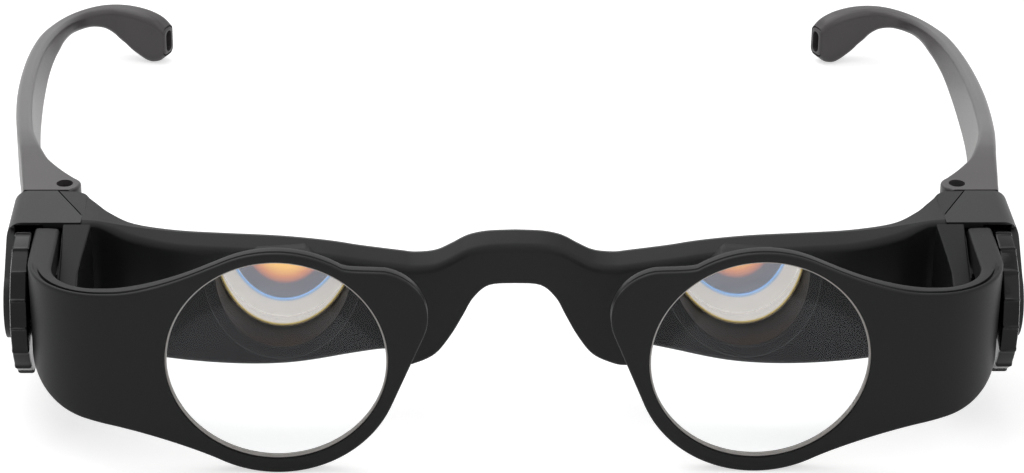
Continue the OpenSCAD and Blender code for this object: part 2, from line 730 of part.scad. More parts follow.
// Oval recess in the end of the temple's tip
module tip_recess() {
    rows = tip_rows();
    tip = rows[len(rows) - 1];
    prev = rows[len(rows) - 3];
    run = [tip[0] - prev[0], tip[1] - prev[1]] / norm([tip[0] - prev[0], tip[1] - prev[1]]);
    mid_z = (tip[3] + tip[4]) / 2;
    turn = atan2(run[1], run[0]);
    translate([pin_x + tip[0] - run[1] * tip[2] / 2, pin_y + tip[1] + run[0] * tip[2] / 2, mid_z])
        rotate([0, 0, turn]) {
            for (s = [-1, 1])
                x_rod(0, s * (recess_h - recess_w) / 2, recess_w / 2, -recess_depth, 2);
            translate([-recess_depth, -recess_w / 2, -(recess_h - recess_w) / 2])
                cube([recess_depth + 2, recess_w, recess_h - recess_w]);
        }
}

module temple() {
    difference() {
        temple_body();
        // Slot for the frame's lug
        translate([pin_x - 10, root_front - 1, lug_bottom - slide_gap])
            cube([10 + knuckle_r + slide_gap, pin_y - root_front + 1 + knuckle_r + slide_gap,
                  lug_h + 2 * slide_gap]);
        // Bores for the hinge screw and its sunk head
        z_rod(pin_x, pin_y, pin_d / 2 + fit_gap, -far, far);
        z_rod(pin_x, pin_y, hinge_head_r + fit_gap, root_top - head_sink - hinge_head_t - fit_gap,
              far);
        tip_recess();
    }
}

module hinge_screw() {
    difference() {
        union() {
            z_rod(pin_x, pin_y, pin_d / 2, -root_low + 0.3, root_top - head_sink - 0.1);
            z_rod(pin_x, pin_y, hinge_head_r, root_top - head_sink - hinge_head_t,
                  root_top - head_sink);
        }
        translate([pin_x, pin_y, root_top - head_sink]) cube([far, 0.4, 0.5], center = true);
    }
}

module right_corner_cover() { color("#5f5f61") placed() on_side("right") corner_cover(); }
module left_corner_cover() { color("#5f5f61") placed() on_side("left") corner_cover(); }
module right_eyepiece_lens() { color("#c9d3da") placed() on_side("right") eyepiece_lens(); }
module left_eyepiece_lens() { color("#c9d3da") placed() on_side("left") eyepiece_lens(); }
module right_eyepiece_ring() { color("#d9d7d3") placed() on_side("right") eyepiece_ring(); }
module left_eyepiece_ring() { color("#d9d7d3") placed() on_side("left") eyepiece_ring(); }
module right_wheel_axle() { color("#9a9a9e") placed() on_side("right") wheel_axle(); }
module left_wheel_axle() { color("#9a9a9e") placed() on_side("left") wheel_axle(); }
module right_objective_carrier() {
    color("#353536") placed() on_side("right") objective_carrier();
}
module left_objective_carrier() {
    color("#353536") placed() on_side("left") objective_carrier();
}
module right_objective_lens() { color("#dfe9ee") placed() on_side("right") objective_lens(); }
module left_objective_lens() { color("#dfe9ee") placed() on_side("left") objective_lens(); }
module right_objective_ring() { color("#1e1e1f") placed() on_side("right") objective_ring(); }
module left_objective_ring() { color("#1e1e1f") placed() on_side("left") objective_ring(); }
module right_focus_wheel() { color("#1c1c1d") placed() on_side("right") focus_wheel(); }
module left_focus_wheel() { color("#1c1c1d") placed() on_side("left") focus_wheel(); }
module right_temple() { color("#48484a") placed() on_side("right") temple(); }
module left_temple() { color("#48484a") placed() on_side("left") temple(); }
module right_hinge_screw() { color("#7c7c80") placed() on_side("right") hinge_screw(); }
module left_hinge_screw() { color("#7c7c80") placed() on_side("left") hinge_screw(); }

main_frame();
right_corner_cover();
left_corner_cover();
cover_screws();
right_eyepiece_lens();
left_eyepiece_lens();
right_eyepiece_ring();
left_eyepiece_ring();
right_wheel_axle();
left_wheel_axle();
right_objective_carrier();
left_objective_carrier();
right_objective_lens();
left_objective_lens();
right_objective_ring();
left_objective_ring();
right_focus_wheel();
left_focus_wheel();
right_temple();
left_temple();
right_hinge_screw();
left_hinge_screw();
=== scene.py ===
import math
from contextlib import contextmanager

import bmesh
import bpy
import numpy as np
from mathutils import Matrix, Vector
from mathutils.geometry import delaunay_2d_cdt


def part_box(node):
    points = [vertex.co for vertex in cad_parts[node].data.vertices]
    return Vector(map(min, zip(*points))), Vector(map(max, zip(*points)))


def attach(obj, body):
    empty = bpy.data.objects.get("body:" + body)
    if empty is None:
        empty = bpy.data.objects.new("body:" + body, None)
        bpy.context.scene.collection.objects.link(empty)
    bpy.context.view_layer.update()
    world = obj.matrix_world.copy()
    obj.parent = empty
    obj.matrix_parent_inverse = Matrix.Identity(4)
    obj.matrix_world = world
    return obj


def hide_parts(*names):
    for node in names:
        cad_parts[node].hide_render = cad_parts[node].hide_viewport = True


bl_info = {
    "name": "Binocular glasses",
    "version": (1, 0, 0),
    "blender": (4, 5, 0),
    "location": "3D View > Sidebar > Glasses",
    "description": "Builds the dressed shells, lenses and stage of a pair of binocular glasses",
    "category": "Object",
}

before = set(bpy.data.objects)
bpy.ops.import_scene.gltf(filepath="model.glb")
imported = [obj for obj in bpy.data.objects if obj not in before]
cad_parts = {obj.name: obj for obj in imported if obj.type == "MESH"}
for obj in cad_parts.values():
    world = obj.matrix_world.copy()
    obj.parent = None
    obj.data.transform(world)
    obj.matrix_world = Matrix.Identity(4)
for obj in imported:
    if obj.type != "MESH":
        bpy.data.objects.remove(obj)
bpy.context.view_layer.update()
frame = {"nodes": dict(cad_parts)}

MM = 0.001
SIDES = {"left": 1, "right": -1}

# Pieces are drawn in millimetres, for the wearer's left: X across the face, Y = 0 on the
# carriers' front face with the back towards +Y, and Z = 0 on the optical axes.
lens_low, lens_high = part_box("left_objective_lens")
LENS_X = (lens_low.x + lens_high.x) / 2 / MM
AXIS_Z = (lens_low.z + lens_high.z) / 2 / MM
FRONT_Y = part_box("left_objective_carrier")[0].y / MM


# Drawing

def place(points, side=1):
    """Drawing points in millimetres, as row-frame points in metres on that side."""
    points = np.asarray(points, float)
    return (points + (0, FRONT_Y, AXIS_Z)) * (side * MM, MM, MM)


def arc(centre, radius, start, end, steps):
    angles = np.radians(np.linspace(start, end, steps + 1))
    return np.column_stack([centre[0] + radius * np.cos(angles),
                            centre[1] + radius * np.sin(angles)])


def bezier(a, b, c, d, steps):
    t = np.linspace(0, 1, steps + 1)[1:, None]
    a, b, c, d = (np.asarray(p, float) for p in (a, b, c, d))
    return (1 - t) ** 3 * a + 3 * (1 - t) ** 2 * t * b + 3 * (1 - t) * t * t * c + t ** 3 * d


def smooth_rows(rows, steps):
    """Rows with steps - 1 more between each two, on a curve through them all."""
    rows = np.asarray(rows, float)
    out = []
    for i in range(len(rows) - 1):
        a, b, c, d = (rows[max(i - 1, 0)], rows[i], rows[i + 1],
                      rows[min(i + 2, len(rows) - 1)])
        for t in np.arange(steps) / steps:
            out.append(0.5 * (2 * b + (c - a) * t + (2 * a - 5 * b + 4 * c - d) * t * t
                              + (3 * b - a - 3 * c + d) * t ** 3))
    return np.array(out + [rows[-1]])


def densify(points, step):
    """A closed outline with no side longer than step."""
    out = []
    for a, b in zip(points, np.roll(points, -1, 0)):
        count = max(1, math.ceil(np.linalg.norm(b - a) / step))
        out.extend(a + (b - a) * k / count for k in range(count))
    return np.array(out)


def unit(vectors):
    """Vectors, row by row, at a length of one."""
    return vectors / np.maximum(np.linalg.norm(vectors, axis=-1, keepdims=True), 1e-9)


def area(points):
    x, y = np.asarray(points).T
    return 0.5 * float(np.sum(x * np.roll(y, -1) - y * np.roll(x, -1)))


def turned(points, clockwise):
    """The outline, wound the way that is asked for."""
    return points if (area(points) < 0) == clockwise else points[::-1]


def moved_in(points, amount):
    """An outline moved into its material, which lies to the left of its run."""
    amount = np.broadcast_to(np.asarray(amount, float), len(points))
    into = unit(points - np.roll(points, 1, 0))
    out = unit(np.roll(points, -1, 0) - points)
    normal = np.column_stack([-into[:, 1] - out[:, 1], into[:, 0] + out[:, 0]])
    share = np.maximum(1 + np.sum(into * out, axis=1), 0.6)
    return points + normal * (amount / share)[:, None]


def inside(points, outline):
    """Which points lie inside a closed outline."""
    x, y = points[:, 0][:, None], points[:, 1][:, None]
    ax, ay = outline.T
    bx, by = np.roll(outline, -1, 0).T
    crosses = (ay > y) != (by > y)
    with np.errstate(divide="ignore", invalid="ignore"):
        at = ax + (y - ay) * (bx - ax) / (by - ay)
    return (np.sum(crosses & (x < at), axis=1) % 2) == 1


def within(points, loops):
    """Which points lie inside the first outline and in none of the others."""
    keep = inside(points, loops[0])
    for hole in loops[1:]:
        keep &= ~inside(points, hole)
    return keep


def near(points, outline, distance):
    """Which points lie within distance of an outline's sides."""
    a, b = outline, np.roll(outline, -1, 0)
    run = b - a
    length = np.maximum(np.sum(run * run, axis=1), 1e-12)
    t = np.clip(np.sum((points[:, None] - a) * run, axis=2) / length, 0, 1)
    gap = np.linalg.norm(points[:, None] - (a + t[..., None] * run), axis=2)
    return gap.min(axis=1) < distance


def rounding(radius, steps=4):
    """Steps of a rounded edge, as (inset, depth), from the face to the wall."""
    angles = np.linspace(0, math.pi / 2, steps + 1)
    return [(radius * (1 - math.sin(a)), radius * (1 - math.cos(a))) for a in angles]


class Shell:
    """Points and faces of a piece, in drawing millimetres."""

    def __init__(self):
        self.points, self.faces, self.count = [], [], 0

    def ring(self, points):
        """Adds points, and gives the number of the first."""
        self.points.append(np.asarray(points, float))
        self.count += len(points)
        return self.count - len(points)

    def ring_wall(self, first, second, count):
        self.faces.extend((first + k, first + (k + 1) % count,
                           second + (k + 1) % count, second + k) for k in range(count))

    def plate(self, outline, profile, surface, holes=(), spacing=1.2):
        """A plate with finished edges. Each profile is (inset, depth) from its front
        face to its rear, and surface turns flat points and a depth into drawing points."""
        rims = [(turned(outline, False), profile)]
        rims += [(turned(points, True), steps) for points, steps in holes]
        sheets = {0: [], -1: []}
        for points, steps in rims:
            rings = []
            for inset, depth in steps:
                rings.append(self.ring(surface(moved_in(points, inset), depth)))
            for first, second in zip(rings, rings[1:]):
                self.ring_wall(first, second, len(points))
            for end in sheets:
                sheets[end].append((moved_in(points, steps[end][0]), rings[end]))
        for end, loops in sheets.items():
            depth = profile[end][1]
            flat = [ring for ring, _ in loops]
            low, high = flat[0].min(0), flat[0].max(0)
            ys = np.arange(low[1] + spacing / 2, high[1], spacing * 0.87)
            grid = np.array([(x + (row % 2) * spacing / 2, y) for row, y in enumerate(ys)
                             for x in np.arange(low[0] + spacing / 4, high[0], spacing)])
            grid = grid.reshape(-1, 2)
            grid = grid[within(grid, flat)]
            for ring in flat:
                grid = grid[~near(grid, ring, spacing * 0.45)]
            flat_points = np.vstack(flat + [grid])
            edges, start = [], 0
            for ring in flat:
                edges += [(start + k, start + (k + 1) % len(ring)) for k in range(len(ring))]
                start += len(ring)
            _, _, faces, origins, _, _ = delaunay_2d_cdt([Vector(p) for p in flat_points], edges,
                                                         [], 0, 1e-7)
            loops.append((grid, self.ring(surface(grid, depth))))
            ids = [first + k for ring, first in loops for k in range(len(ring))]
            corners = [[origins[v][0] for v in face] for face in faces]
            centres = np.array([flat_points[c].mean(0) for c in corners])
            # Slivers along a straight side belong to neither face
            good = within(centres, flat) & [abs(area(flat_points[c])) > 1e-4 for c in corners]
            self.faces.extend(tuple(ids[v] for v in c) for c, ok in zip(corners, good) if ok)
        return self

    def lathe(self, profile, steps=96, centre=(LENS_X, 0, 0), axis="y"):
        """A turned shape about an axis. The profile is (radius, distance along the axis)."""
        angles = np.linspace(0, 2 * math.pi, steps, endpoint=False)
        rings = []
        for radius, along in profile:
            if radius < 1e-6:
                ring = np.array([(0.0, 0.0)])
            else:
                ring = np.column_stack([radius * np.cos(angles), radius * np.sin(angles)])
            column = np.full(len(ring), along)
            order = {"y": (ring[:, 0], column, ring[:, 1]),
                     "z": (ring[:, 0], ring[:, 1], column)}[axis]
            rings.append((self.ring(np.column_stack(order) + centre), len(ring)))
        closed = profile[0][0] > 1e-6 and profile[-1][0] > 1e-6
        for (a, na), (b, nb) in zip(rings, rings[1:] + (rings[:1] if closed else [])):
            if na == 1 and nb > 1:
                self.faces.extend((a, b + k, b + (k + 1) % nb) for k in range(nb))
            elif nb == 1 and na > 1:
                self.faces.extend((b, a + (k + 1) % na, a + k) for k in range(na))
            elif na > 1:
                self.ring_wall(a, b, na)
        return self

    def loft(self, rings):
        """A closed skin through rings with the same count, capped at both ends."""
        count = len(rings[0])
        starts = [self.ring(ring) for ring in rings]
        for first, second in zip(starts, starts[1:]):
            self.ring_wall(first, second, count)
        self.faces.append(tuple(starts[0] + k for k in range(count)))
        self.faces.append(tuple(starts[-1] + k for k in range(count)))
        return self

    def mesh(self, name, side=1):
        mesh = bpy.data.meshes.new(name)
        mesh.from_pydata(place(np.vstack(self.points), side).tolist(), [], self.faces)
        with editing(mesh) as work:
            bmesh.ops.remove_doubles(work, verts=work.verts, dist=2e-7)
            bmesh.ops.recalc_face_normals(work, faces=work.faces)
            if work.calc_volume(signed=True) < 0:
                bmesh.ops.reverse_faces(work, faces=work.faces)
        return mesh


def extruded(outline, ends, axis):
    """A straight prism between two ends along an axis: 0 for X, 1 for Y, 2 for Z."""
    return Shell().loft([np.insert(np.array(outline, float), axis, at, axis=1) for at in ends])


def block(x, y, z):
    """A box between two limits along each axis."""
    return extruded([(x[0], z[0]), (x[1], z[0]), (x[1], z[1]), (x[0], z[1])], y, 1)


# Objects

@contextmanager
def editing(mesh):
    """A mesh that is open for changes, and written back after them."""
    work = bmesh.new()
    work.from_mesh(mesh)
    yield work
    work.to_mesh(mesh)
    work.free()


def link(name, mesh):
    obj = bpy.data.objects.new(name, mesh)
    bpy.context.scene.collection.objects.link(obj)
    return obj


def settle(obj):
    """Replaces an object's mesh by what its modifiers make of it."""
    bpy.context.view_layer.update()
    graph = bpy.context.evaluated_depsgraph_get()
    mesh = bpy.data.meshes.new_from_object(obj.evaluated_get(graph), depsgraph=graph)
    obj.modifiers.clear()
    old, obj.data = obj.data, mesh
    if old.users == 0:
        bpy.data.meshes.remove(old)
    return obj


def cut(obj, *cutters):
    """Takes closed meshes away from an object."""
    for mesh in cutters:
        tool = link("cutter", mesh)
        step = obj.modifiers.new("cut", "BOOLEAN")
        step.operation, step.solver, step.object = "DIFFERENCE", "EXACT", tool
        settle(obj)
        bpy.data.objects.remove(tool)
        bpy.data.meshes.remove(mesh)


def join(obj, *meshes):
    """Adds finished meshes to an object's own, and removes them with their objects."""
    with editing(obj.data) as work:
        for mesh in meshes:
            work.from_mesh(mesh)
            bpy.data.meshes.remove(mesh)


def shade(obj, sharp=38):
    """Smooth faces that break at sharp edges, with normals led by the large faces."""
    obj.data.shade_smooth()
    obj.data.set_sharp_from_angle(angle=math.radians(sharp))
    step = obj.modifiers.new("normals", "WEIGHTED_NORMAL")
    step.keep_sharp, step.weight = True, 60
    return settle(obj)


def dress(obj, material, body, node):
    """Gives a finished piece its material and its body, and hides the CAD node it stands for."""
    obj.data.materials.clear()
    obj.data.materials.append(material)
    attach(obj, body)
    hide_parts(node)


def softened(node, width, steps=3, angle=32):
    """A copy of a CAD node's mesh, merged and with its edges rounded."""
    mesh = frame["nodes"][node].data.copy()
    with editing(mesh) as work:
        bmesh.ops.remove_doubles(work, verts=work.verts, dist=1e-6)
        bmesh.ops.dissolve_limit(work, angle_limit=math.radians(0.6), verts=work.verts,
                                 edges=work.edges)
    obj = link(node + "_shell", mesh)
    step = obj.modifiers.new("edges", "BEVEL")
    step.width, step.segments, step.limit_method = width * MM, steps, "ANGLE"
    step.angle_limit, step.use_clamp_overlap = math.radians(angle), True
    return settle(obj)


# Materials

def linear(colour):
    """A linear colour from a written sRGB one, such as #2b2b2c."""
    parts = [int(colour[i:i + 2], 16) / 255 for i in (1, 3, 5)]
    return [c / 12.92 if c <= 0.04045 else ((c + 0.055) / 1.055) ** 2.4 for c in parts] + [1.0]


def add(tree, kind, inputs=None, **settings):
    """Adds a node with its settings, and sets or links its inputs. A node given as an input
    stands for its first output."""
    node = tree.nodes.new(kind)
    for name, value in settings.items():
        setattr(node, name, value)
    for name, value in (inputs or {}).items():
        socket = node.inputs[name]
        if isinstance(value, bpy.types.Node):
            value = value.outputs[0]
        if isinstance(value, bpy.types.NodeSocket):
            tree.links.new(value, socket)
        else:
            socket.default_value = value
    return node


def ramp(tree, factor, stops):
    """Colours by position, along a factor from 0 to 1."""
    node = add(tree, "ShaderNodeValToRGB", {"Fac": factor})
    elements = node.color_ramp.elements
    while len(elements) < len(stops):
        elements.new(0.5)
    for element, (position, colour) in zip(elements, stops):
        element.position, element.color = position, colour
    return node.outputs["Color"]


def new_material(name):
    material = bpy.data.materials.get(name)
    if material is None:
        material = bpy.data.materials.new(name)
    material.use_nodes = True
    material.node_tree.nodes.clear()
    return material, material.node_tree


def surfaced(material, inputs):
    """Ends a material with its one surface shader."""
    shader = add(material.node_tree, "ShaderNodeBsdfPrincipled", inputs)
    add(material.node_tree, "ShaderNodeOutputMaterial", {"Surface": shader})
    return material


def span(tree, value, low, high, start=0.0, end=1.0):
    """A value whose range from low to high becomes one from start to end."""
    return add(tree, "ShaderNodeMapRange", {"Value": value, "From Min": low, "From Max": high,
               "To Min": start, "To Max": end}).outputs["Result"]


def moulded_plastic(name, colour, roughness, grain_mm, depth, level=0.5):
    """Moulded plastic: a spark-eroded grain breaks up the sheen, and the roughness drifts
    a little from place to place, as it does where the mould has been polished."""
    material, tree = new_material(name)
    where = add(tree, "ShaderNodeTexCoord").outputs["Object"]
    grain = add(tree, "ShaderNodeTexNoise",
                {"Vector": where, "Scale": 1 / (grain_mm * MM), "Detail": 3.0, "Roughness": 0.6})
    drift = add(tree, "ShaderNodeTexNoise", {"Vector": where, "Scale": 90.0, "Detail": 2.0})
    tint = ramp(tree, drift.outputs["Fac"], [(at, [c * share for c in linear(colour)[:3]] + [1])
                                             for at, share in ((0.3, 0.9), (0.7, 1.1))])
    rough = span(tree, grain.outputs["Fac"], 0.25, 0.75, roughness - 0.07, roughness + 0.07)
    bump = add(tree, "ShaderNodeBump", {"Height": grain.outputs["Fac"], "Strength": depth,
               "Distance": 0.05 * MM})
    return surfaced(material, {"Base Color": tint, "Roughness": rough, "IOR": 1.5,
                               "Normal": bump.outputs["Normal"], "Specular IOR Level": level})


# Mouldings: material, roughness, grain in millimetres, the grain's depth, mirror level
MOULDINGS = {"carrier": ("moulded ABS, carriers", 0.42, 0.12, 0.1, 0.22),
             "frame": ("moulded ABS, frame", 0.45, 0.14, 0.12, 0.25),
             "cover": ("moulded ABS, covers", 0.42, 0.12, 0.1, 0.3),
             "wheel": ("moulded ABS, wheels", 0.13, 0.3, 0.2, 0.22),
             "temple": ("moulded nylon, temples", 0.33, 0.14, 0.06, 0.4)}


def moulding(context, piece):
    """The plastic of a piece, in the colour that the user has set."""
    name, *finish = MOULDINGS[piece]
    return moulded_plastic(name, getattr(context.scene.glasses_colours, piece), *finish)


def from_axis(tree, where):
    """Distance in millimetres from the lens axis on either side."""
    apart = add(tree, "ShaderNodeSeparateXYZ", {0: where})
    across = add(tree, "ShaderNodeMath", {0: apart.outputs["X"]}, operation="ABSOLUTE")
    flat = add(tree, "ShaderNodeCombineXYZ", {"X": across, "Z": apart.outputs["Z"]})
    gap = add(tree, "ShaderNodeVectorMath",
              {0: flat, 1: (LENS_X * MM, 0, AXIS_Z * MM)}, operation="DISTANCE")
    return add(tree, "ShaderNodeMath", {0: gap.outputs["Value"], 1: 1 / MM},
               operation="MULTIPLY")


def polished_lens(name, ior, level, ground, rear_y, front_bands, bands):
    """An optical plastic, coated so that its polished face mirrors little. Beyond the radius
    where the polish ends the rim is ground, so it scatters light and shows as a pale hoop.
    The bands are colours painted on by distance from the axis, before and behind rear_y: painted
    colour fringes, painted shade and a painted view of the surroundings through the lens."""
    material, tree = new_material(name)
    where = add(tree, "ShaderNodeTexCoord").outputs["Object"]
    away = from_axis(tree, where)
    rim = span(tree, away, ground - 0.03, ground + 0.03)
    depth = add(tree, "ShaderNodeSeparateXYZ", {0: where}).outputs["Y"]
    behind = span(tree, depth, rear_y - 0.1 * MM, rear_y + 0.1 * MM)
    # These ramps paint the bands on: colour fringes, shade and a view through the lens
    split = [ramp(tree, span(tree, away, 0, 10), [(radius / 10, linear(colour))
                                                  for radius, colour in rings])
             for rings in (front_bands, bands)]
    # The mix node's colours are its inputs 6 and 7 and its output 2
    tint = add(tree, "ShaderNodeMix", {"Factor": behind, 6: split[0], 7: split[1]},
               data_type="RGBA")
    tint = add(tree, "ShaderNodeMix", {"Factor": rim, 6: tint.outputs[2], 7: linear("#d4d0cc")},
               data_type="RGBA")
    return surfaced(material, {
        "Base Color": tint.outputs[2], "Roughness": span(tree, rim, 0, 1, 0.0, 0.7),
        "IOR": ior, "Specular IOR Level": level, "Specular Tint": (0.2, 0.2, 0.22, 1),
        "Transmission Weight": span(tree, rim, 0, 1, 1.0, 0.0)})


def glowing_acetal(name):
    """Moulded acetal, pale, with a painted glow: its own colour is also sent out as light,
    so that it seems lit from within though it is no lamp. The edge of its opening has a
    painted blue colour fringe, which stands for the light that the lenses split."""
    material, tree = new_material(name)
    where = add(tree, "ShaderNodeTexCoord").outputs["Object"]
    cloud = add(tree, "ShaderNodeTexNoise", {"Vector": where, "Scale": 400.0, "Detail": 2.0})
    away = from_axis(tree, where)
    # Painted blue colour fringe round the opening, turning pale beyond it
    tint = ramp(tree, span(tree, away, 5, 8),
                [(0.31, linear("#a4c6f4")), (0.37, linear("#efebe9"))])
    # The emission is a painted glow in the ring's own colour
    return surfaced(material, {
        "Base Color": tint, "Roughness": span(tree, cloud.outputs["Fac"], 0.3, 0.7, 0.35, 0.5),
        "IOR": 1.48, "Emission Color": tint, "Emission Strength": 0.45})


def blackened_steel(name, colour):
    """Blackened steel: a dark oxide skin, brighter where turning has left fine marks."""
    material, tree = new_material(name)
    where = add(tree, "ShaderNodeTexCoord").outputs["Object"]
    marks = add(tree, "ShaderNodeTexNoise", {"Vector": where, "Scale": 9000.0, "Detail": 2.0})
    return surfaced(material, {"Base Color": linear(colour), "Metallic": 1.0,
                               "Roughness": span(tree, marks.outputs["Fac"], 0, 1, 0.25, 0.5)})


def seen_white(tree, gloss):
    """Mask of the rays that meet the plain white surroundings: the camera's own, those that
    came through a lens alone, and mirrored ones by the share gloss. Scattered rays don't meet
    it, so that it shows as a background and a sheen but doesn't flood the object."""
    path = add(tree, "ShaderNodeLightPath")
    met = add(tree, "ShaderNodeMath", {0: path.outputs["Diffuse Depth"],
              1: path.outputs["Glossy Depth"]}, operation="ADD")
    first = add(tree, "ShaderNodeMath", {0: met, 1: 0.5}, operation="LESS_THAN")
    through = add(tree, "ShaderNodeMath", {0: path.outputs["Is Transmission Ray"], 1: first},
                  operation="MULTIPLY")
    seen = add(tree, "ShaderNodeMath", {0: path.outputs["Is Camera Ray"], 1: through},
               operation="MAXIMUM")
    shine = add(tree, "ShaderNodeMath", {0: path.outputs["Is Glossy Ray"], 1: gloss},
                operation="MULTIPLY")
    return add(tree, "ShaderNodeMath", {0: seen, 1: shine}, operation="MAXIMUM")


# Sizes and colours that a user would change

class GlassesSizes(bpy.types.PropertyGroup):
    edge: bpy.props.FloatProperty(
        name="Edge rounding", description="Radius of the carriers' front edges",
        default=0.35 * MM, min=0, subtype="DISTANCE", unit="LENGTH", precision=5)
    groove: bpy.props.FloatProperty(
        name="Rim groove", description="Depth of the fine groove along the carriers' top edge",
        default=0.36 * MM, min=0, subtype="DISTANCE", unit="LENGTH", precision=5)
    lobes: bpy.props.IntProperty(
        name="Wheel lobes", description="Number of grip scallops round each focus wheel",
        default=16, min=6, max=40)


class GlassesColours(bpy.types.PropertyGroup):
    carrier: bpy.props.StringProperty(
        name="Carriers", description="sRGB colour of the carriers", default="#111112")
    frame: bpy.props.StringProperty(
        name="Frame", description="sRGB colour of the main frame", default="#111112")
    cover: bpy.props.StringProperty(
        name="Covers", description="sRGB colour of the corner covers", default="#171718")
    temple: bpy.props.StringProperty(
        name="Temples", description="sRGB colour of the temples", default="#464344")
    wheel: bpy.props.StringProperty(
        name="Wheels", description="sRGB colour of the focus wheels", default="#08080a")


class GlassesStage(bpy.types.PropertyGroup):
    focal: bpy.props.FloatProperty(
        name="Focal length", description="Camera focal length on a 36 mm sensor",
        default=113.9, min=10, unit="CAMERA")
    place: bpy.props.FloatVectorProperty(
        name="Camera place", description="Where the camera stands, in the drawing frame",
        default=(-0.014737, -0.383585, 0.209485), subtype="TRANSLATION", unit="LENGTH", size=3)
    aim: bpy.props.FloatVectorProperty(
        name="Camera aim", description="Turn to the side, tilt down and roll of the camera",
        default=(0.0353, 0.4608, 0.0151), subtype="EULER", unit="ROTATION", size=3)
    light: bpy.props.FloatProperty(
        name="Light", description="Strength of the studio's surroundings", default=0.5, min=0)


# Operators

# Half the floor's side, and the lamps, which face the origin: name, place, size, power
FLOOR_HALF = 3.0
LAMPS = (("key", (-0.25, 0.25, 0.75), 1.0, 4.6), ("fill", (0.45, -0.35, 0.6), 0.8, 1.0))


class GLASSES_OT_stage(bpy.types.Operator):
    """Camera, soft lights, pale floor and white surroundings"""
    bl_idname = "glasses.stage"
    bl_label = "Stage"

    def execute(self, context):
        scene = context.scene
        stage = scene.glasses_stage
        yaw, pitch, roll = stage.aim
        ahead = Vector((math.sin(yaw) * math.cos(pitch), math.cos(yaw) * math.cos(pitch),
                        -math.sin(pitch)))
        right = Vector((math.cos(yaw), -math.sin(yaw), 0))
        up = right.cross(ahead)
        right, up = (math.cos(roll) * right + math.sin(roll) * up,
                     math.cos(roll) * up - math.sin(roll) * right)
        camera = bpy.data.cameras.new("camera")
        camera.lens, camera.sensor_width, camera.clip_start = stage.focal, 36, 0.01
        holder = link("camera", camera)
        matrix = Matrix((right, up, -ahead)).transposed().to_4x4()
        matrix.translation = Vector(stage.place) + Vector((0, FRONT_Y, AXIS_Z)) * MM
        holder.matrix_world = matrix
        scene.camera = holder

        scene.view_settings.view_transform = "Standard"
        world = bpy.data.worlds.new("studio")
        scene.world = world
        world.use_nodes = True
        tree = world.node_tree
        tree.nodes.clear()
        white = add(tree, "ShaderNodeBackground", {"Color": (1, 1, 1, 1), "Strength": 1.0})
        soft = add(tree, "ShaderNodeBackground", {"Color": (1, 1, 1, 1), "Strength": stage.light})
        mix = add(tree, "ShaderNodeMixShader", {"Fac": seen_white(tree, 1.0), 1: soft, 2: white})
        add(tree, "ShaderNodeOutputWorld", {"Surface": mix})

        for name, where, size, watts in LAMPS:
            lamp = bpy.data.lights.new(name, "AREA")
            lamp.shape, lamp.size, lamp.energy = "SQUARE", size, watts
            holder = link(name, lamp)
            holder.matrix_world = (Matrix.Translation(where)
                                   @ Vector(where).to_track_quat("Z", "Y").to_matrix().to_4x4())

        mesh = bpy.data.meshes.new("floor")
        mesh.from_pydata([(x * FLOOR_HALF, y * FLOOR_HALF, 0)
                          for x, y in ((-1, -1), (1, -1), (1, 1), (-1, 1))], [], [(0, 1, 2, 3)])
        floor = link("floor", mesh)
        material, tree = new_material("pale card")
        card = add(tree, "ShaderNodeBsdfDiffuse", {"Color": linear("#d8d8d8")})
        glow = add(tree, "ShaderNodeEmission", {"Color": (1, 1, 1, 1), "Strength": 0.6})
        both = add(tree, "ShaderNodeAddShader", {0: card, 1: glow})
        mix = add(tree, "ShaderNodeMixShader", {"Fac": seen_white(tree, 0.75), 1: card, 2: both})
        add(tree, "ShaderNodeOutputMaterial", {"Surface": mix})
        mesh.materials.append(material)
        return {"FINISHED"}


# Carriers: radii of the bend's faces, the arm's outer face and thickness, the front's wall
BEND_R, INNER_R, ARM_OUT, ARM_T, FRONT_WALL = 11.0, 6.5, 66.55, 3.4, 2.4
# Where the bend starts, and the centre of its inner face
BEND_X = ARM_OUT - BEND_R
INNER_X, INNER_Y = ARM_OUT - ARM_T - INNER_R, FRONT_WALL + INNER_R
# Centres and radii of the lens rim and of the ear beside the nose, and the lens opening
RIM, RIM_R, OPENING_R = (LENS_X, -0.45), 16.75, 15.0
EAR, EAR_R = (LENS_X - 13.3, 6.4), 7.05
# Heights of the arm's top, of its end and of the rack's teeth, and the teeth's pitch
ARM_TOP, ARM_END_TOP, TOOTH_ROOT, TOOTH_TIP, RACK_PITCH = 10.2, 9.3, 3.75, 2.75, math.pi * 0.5
# Wheels: the axle's place, faces and radius, the pinion's inner end, and the bore
AXLE_Y, WHEEL_IN, WHEEL_OUT, WHEEL_R, PINION_IN, AXLE_R = 18.3, 66.85, 69.25, 10.2, 63.15, 0.84
PINION_TEETH = 12


def heading(angle):
    """The direction at an angle in degrees."""
    return np.array([math.cos(math.radians(angle)), math.sin(math.radians(angle))])


def unrolled(x):
    """Distance along a carrier's outer face, where its front view shows x."""
    turn = np.arcsin(np.clip((x - BEND_X) / BEND_R, 0, 1))
    return np.minimum(x, BEND_X) + BEND_R * turn


def along_arm(y):
    """Distance along the outer face, where the arm lies at y."""
    return BEND_X + BEND_R * math.pi / 2 + y - BEND_R


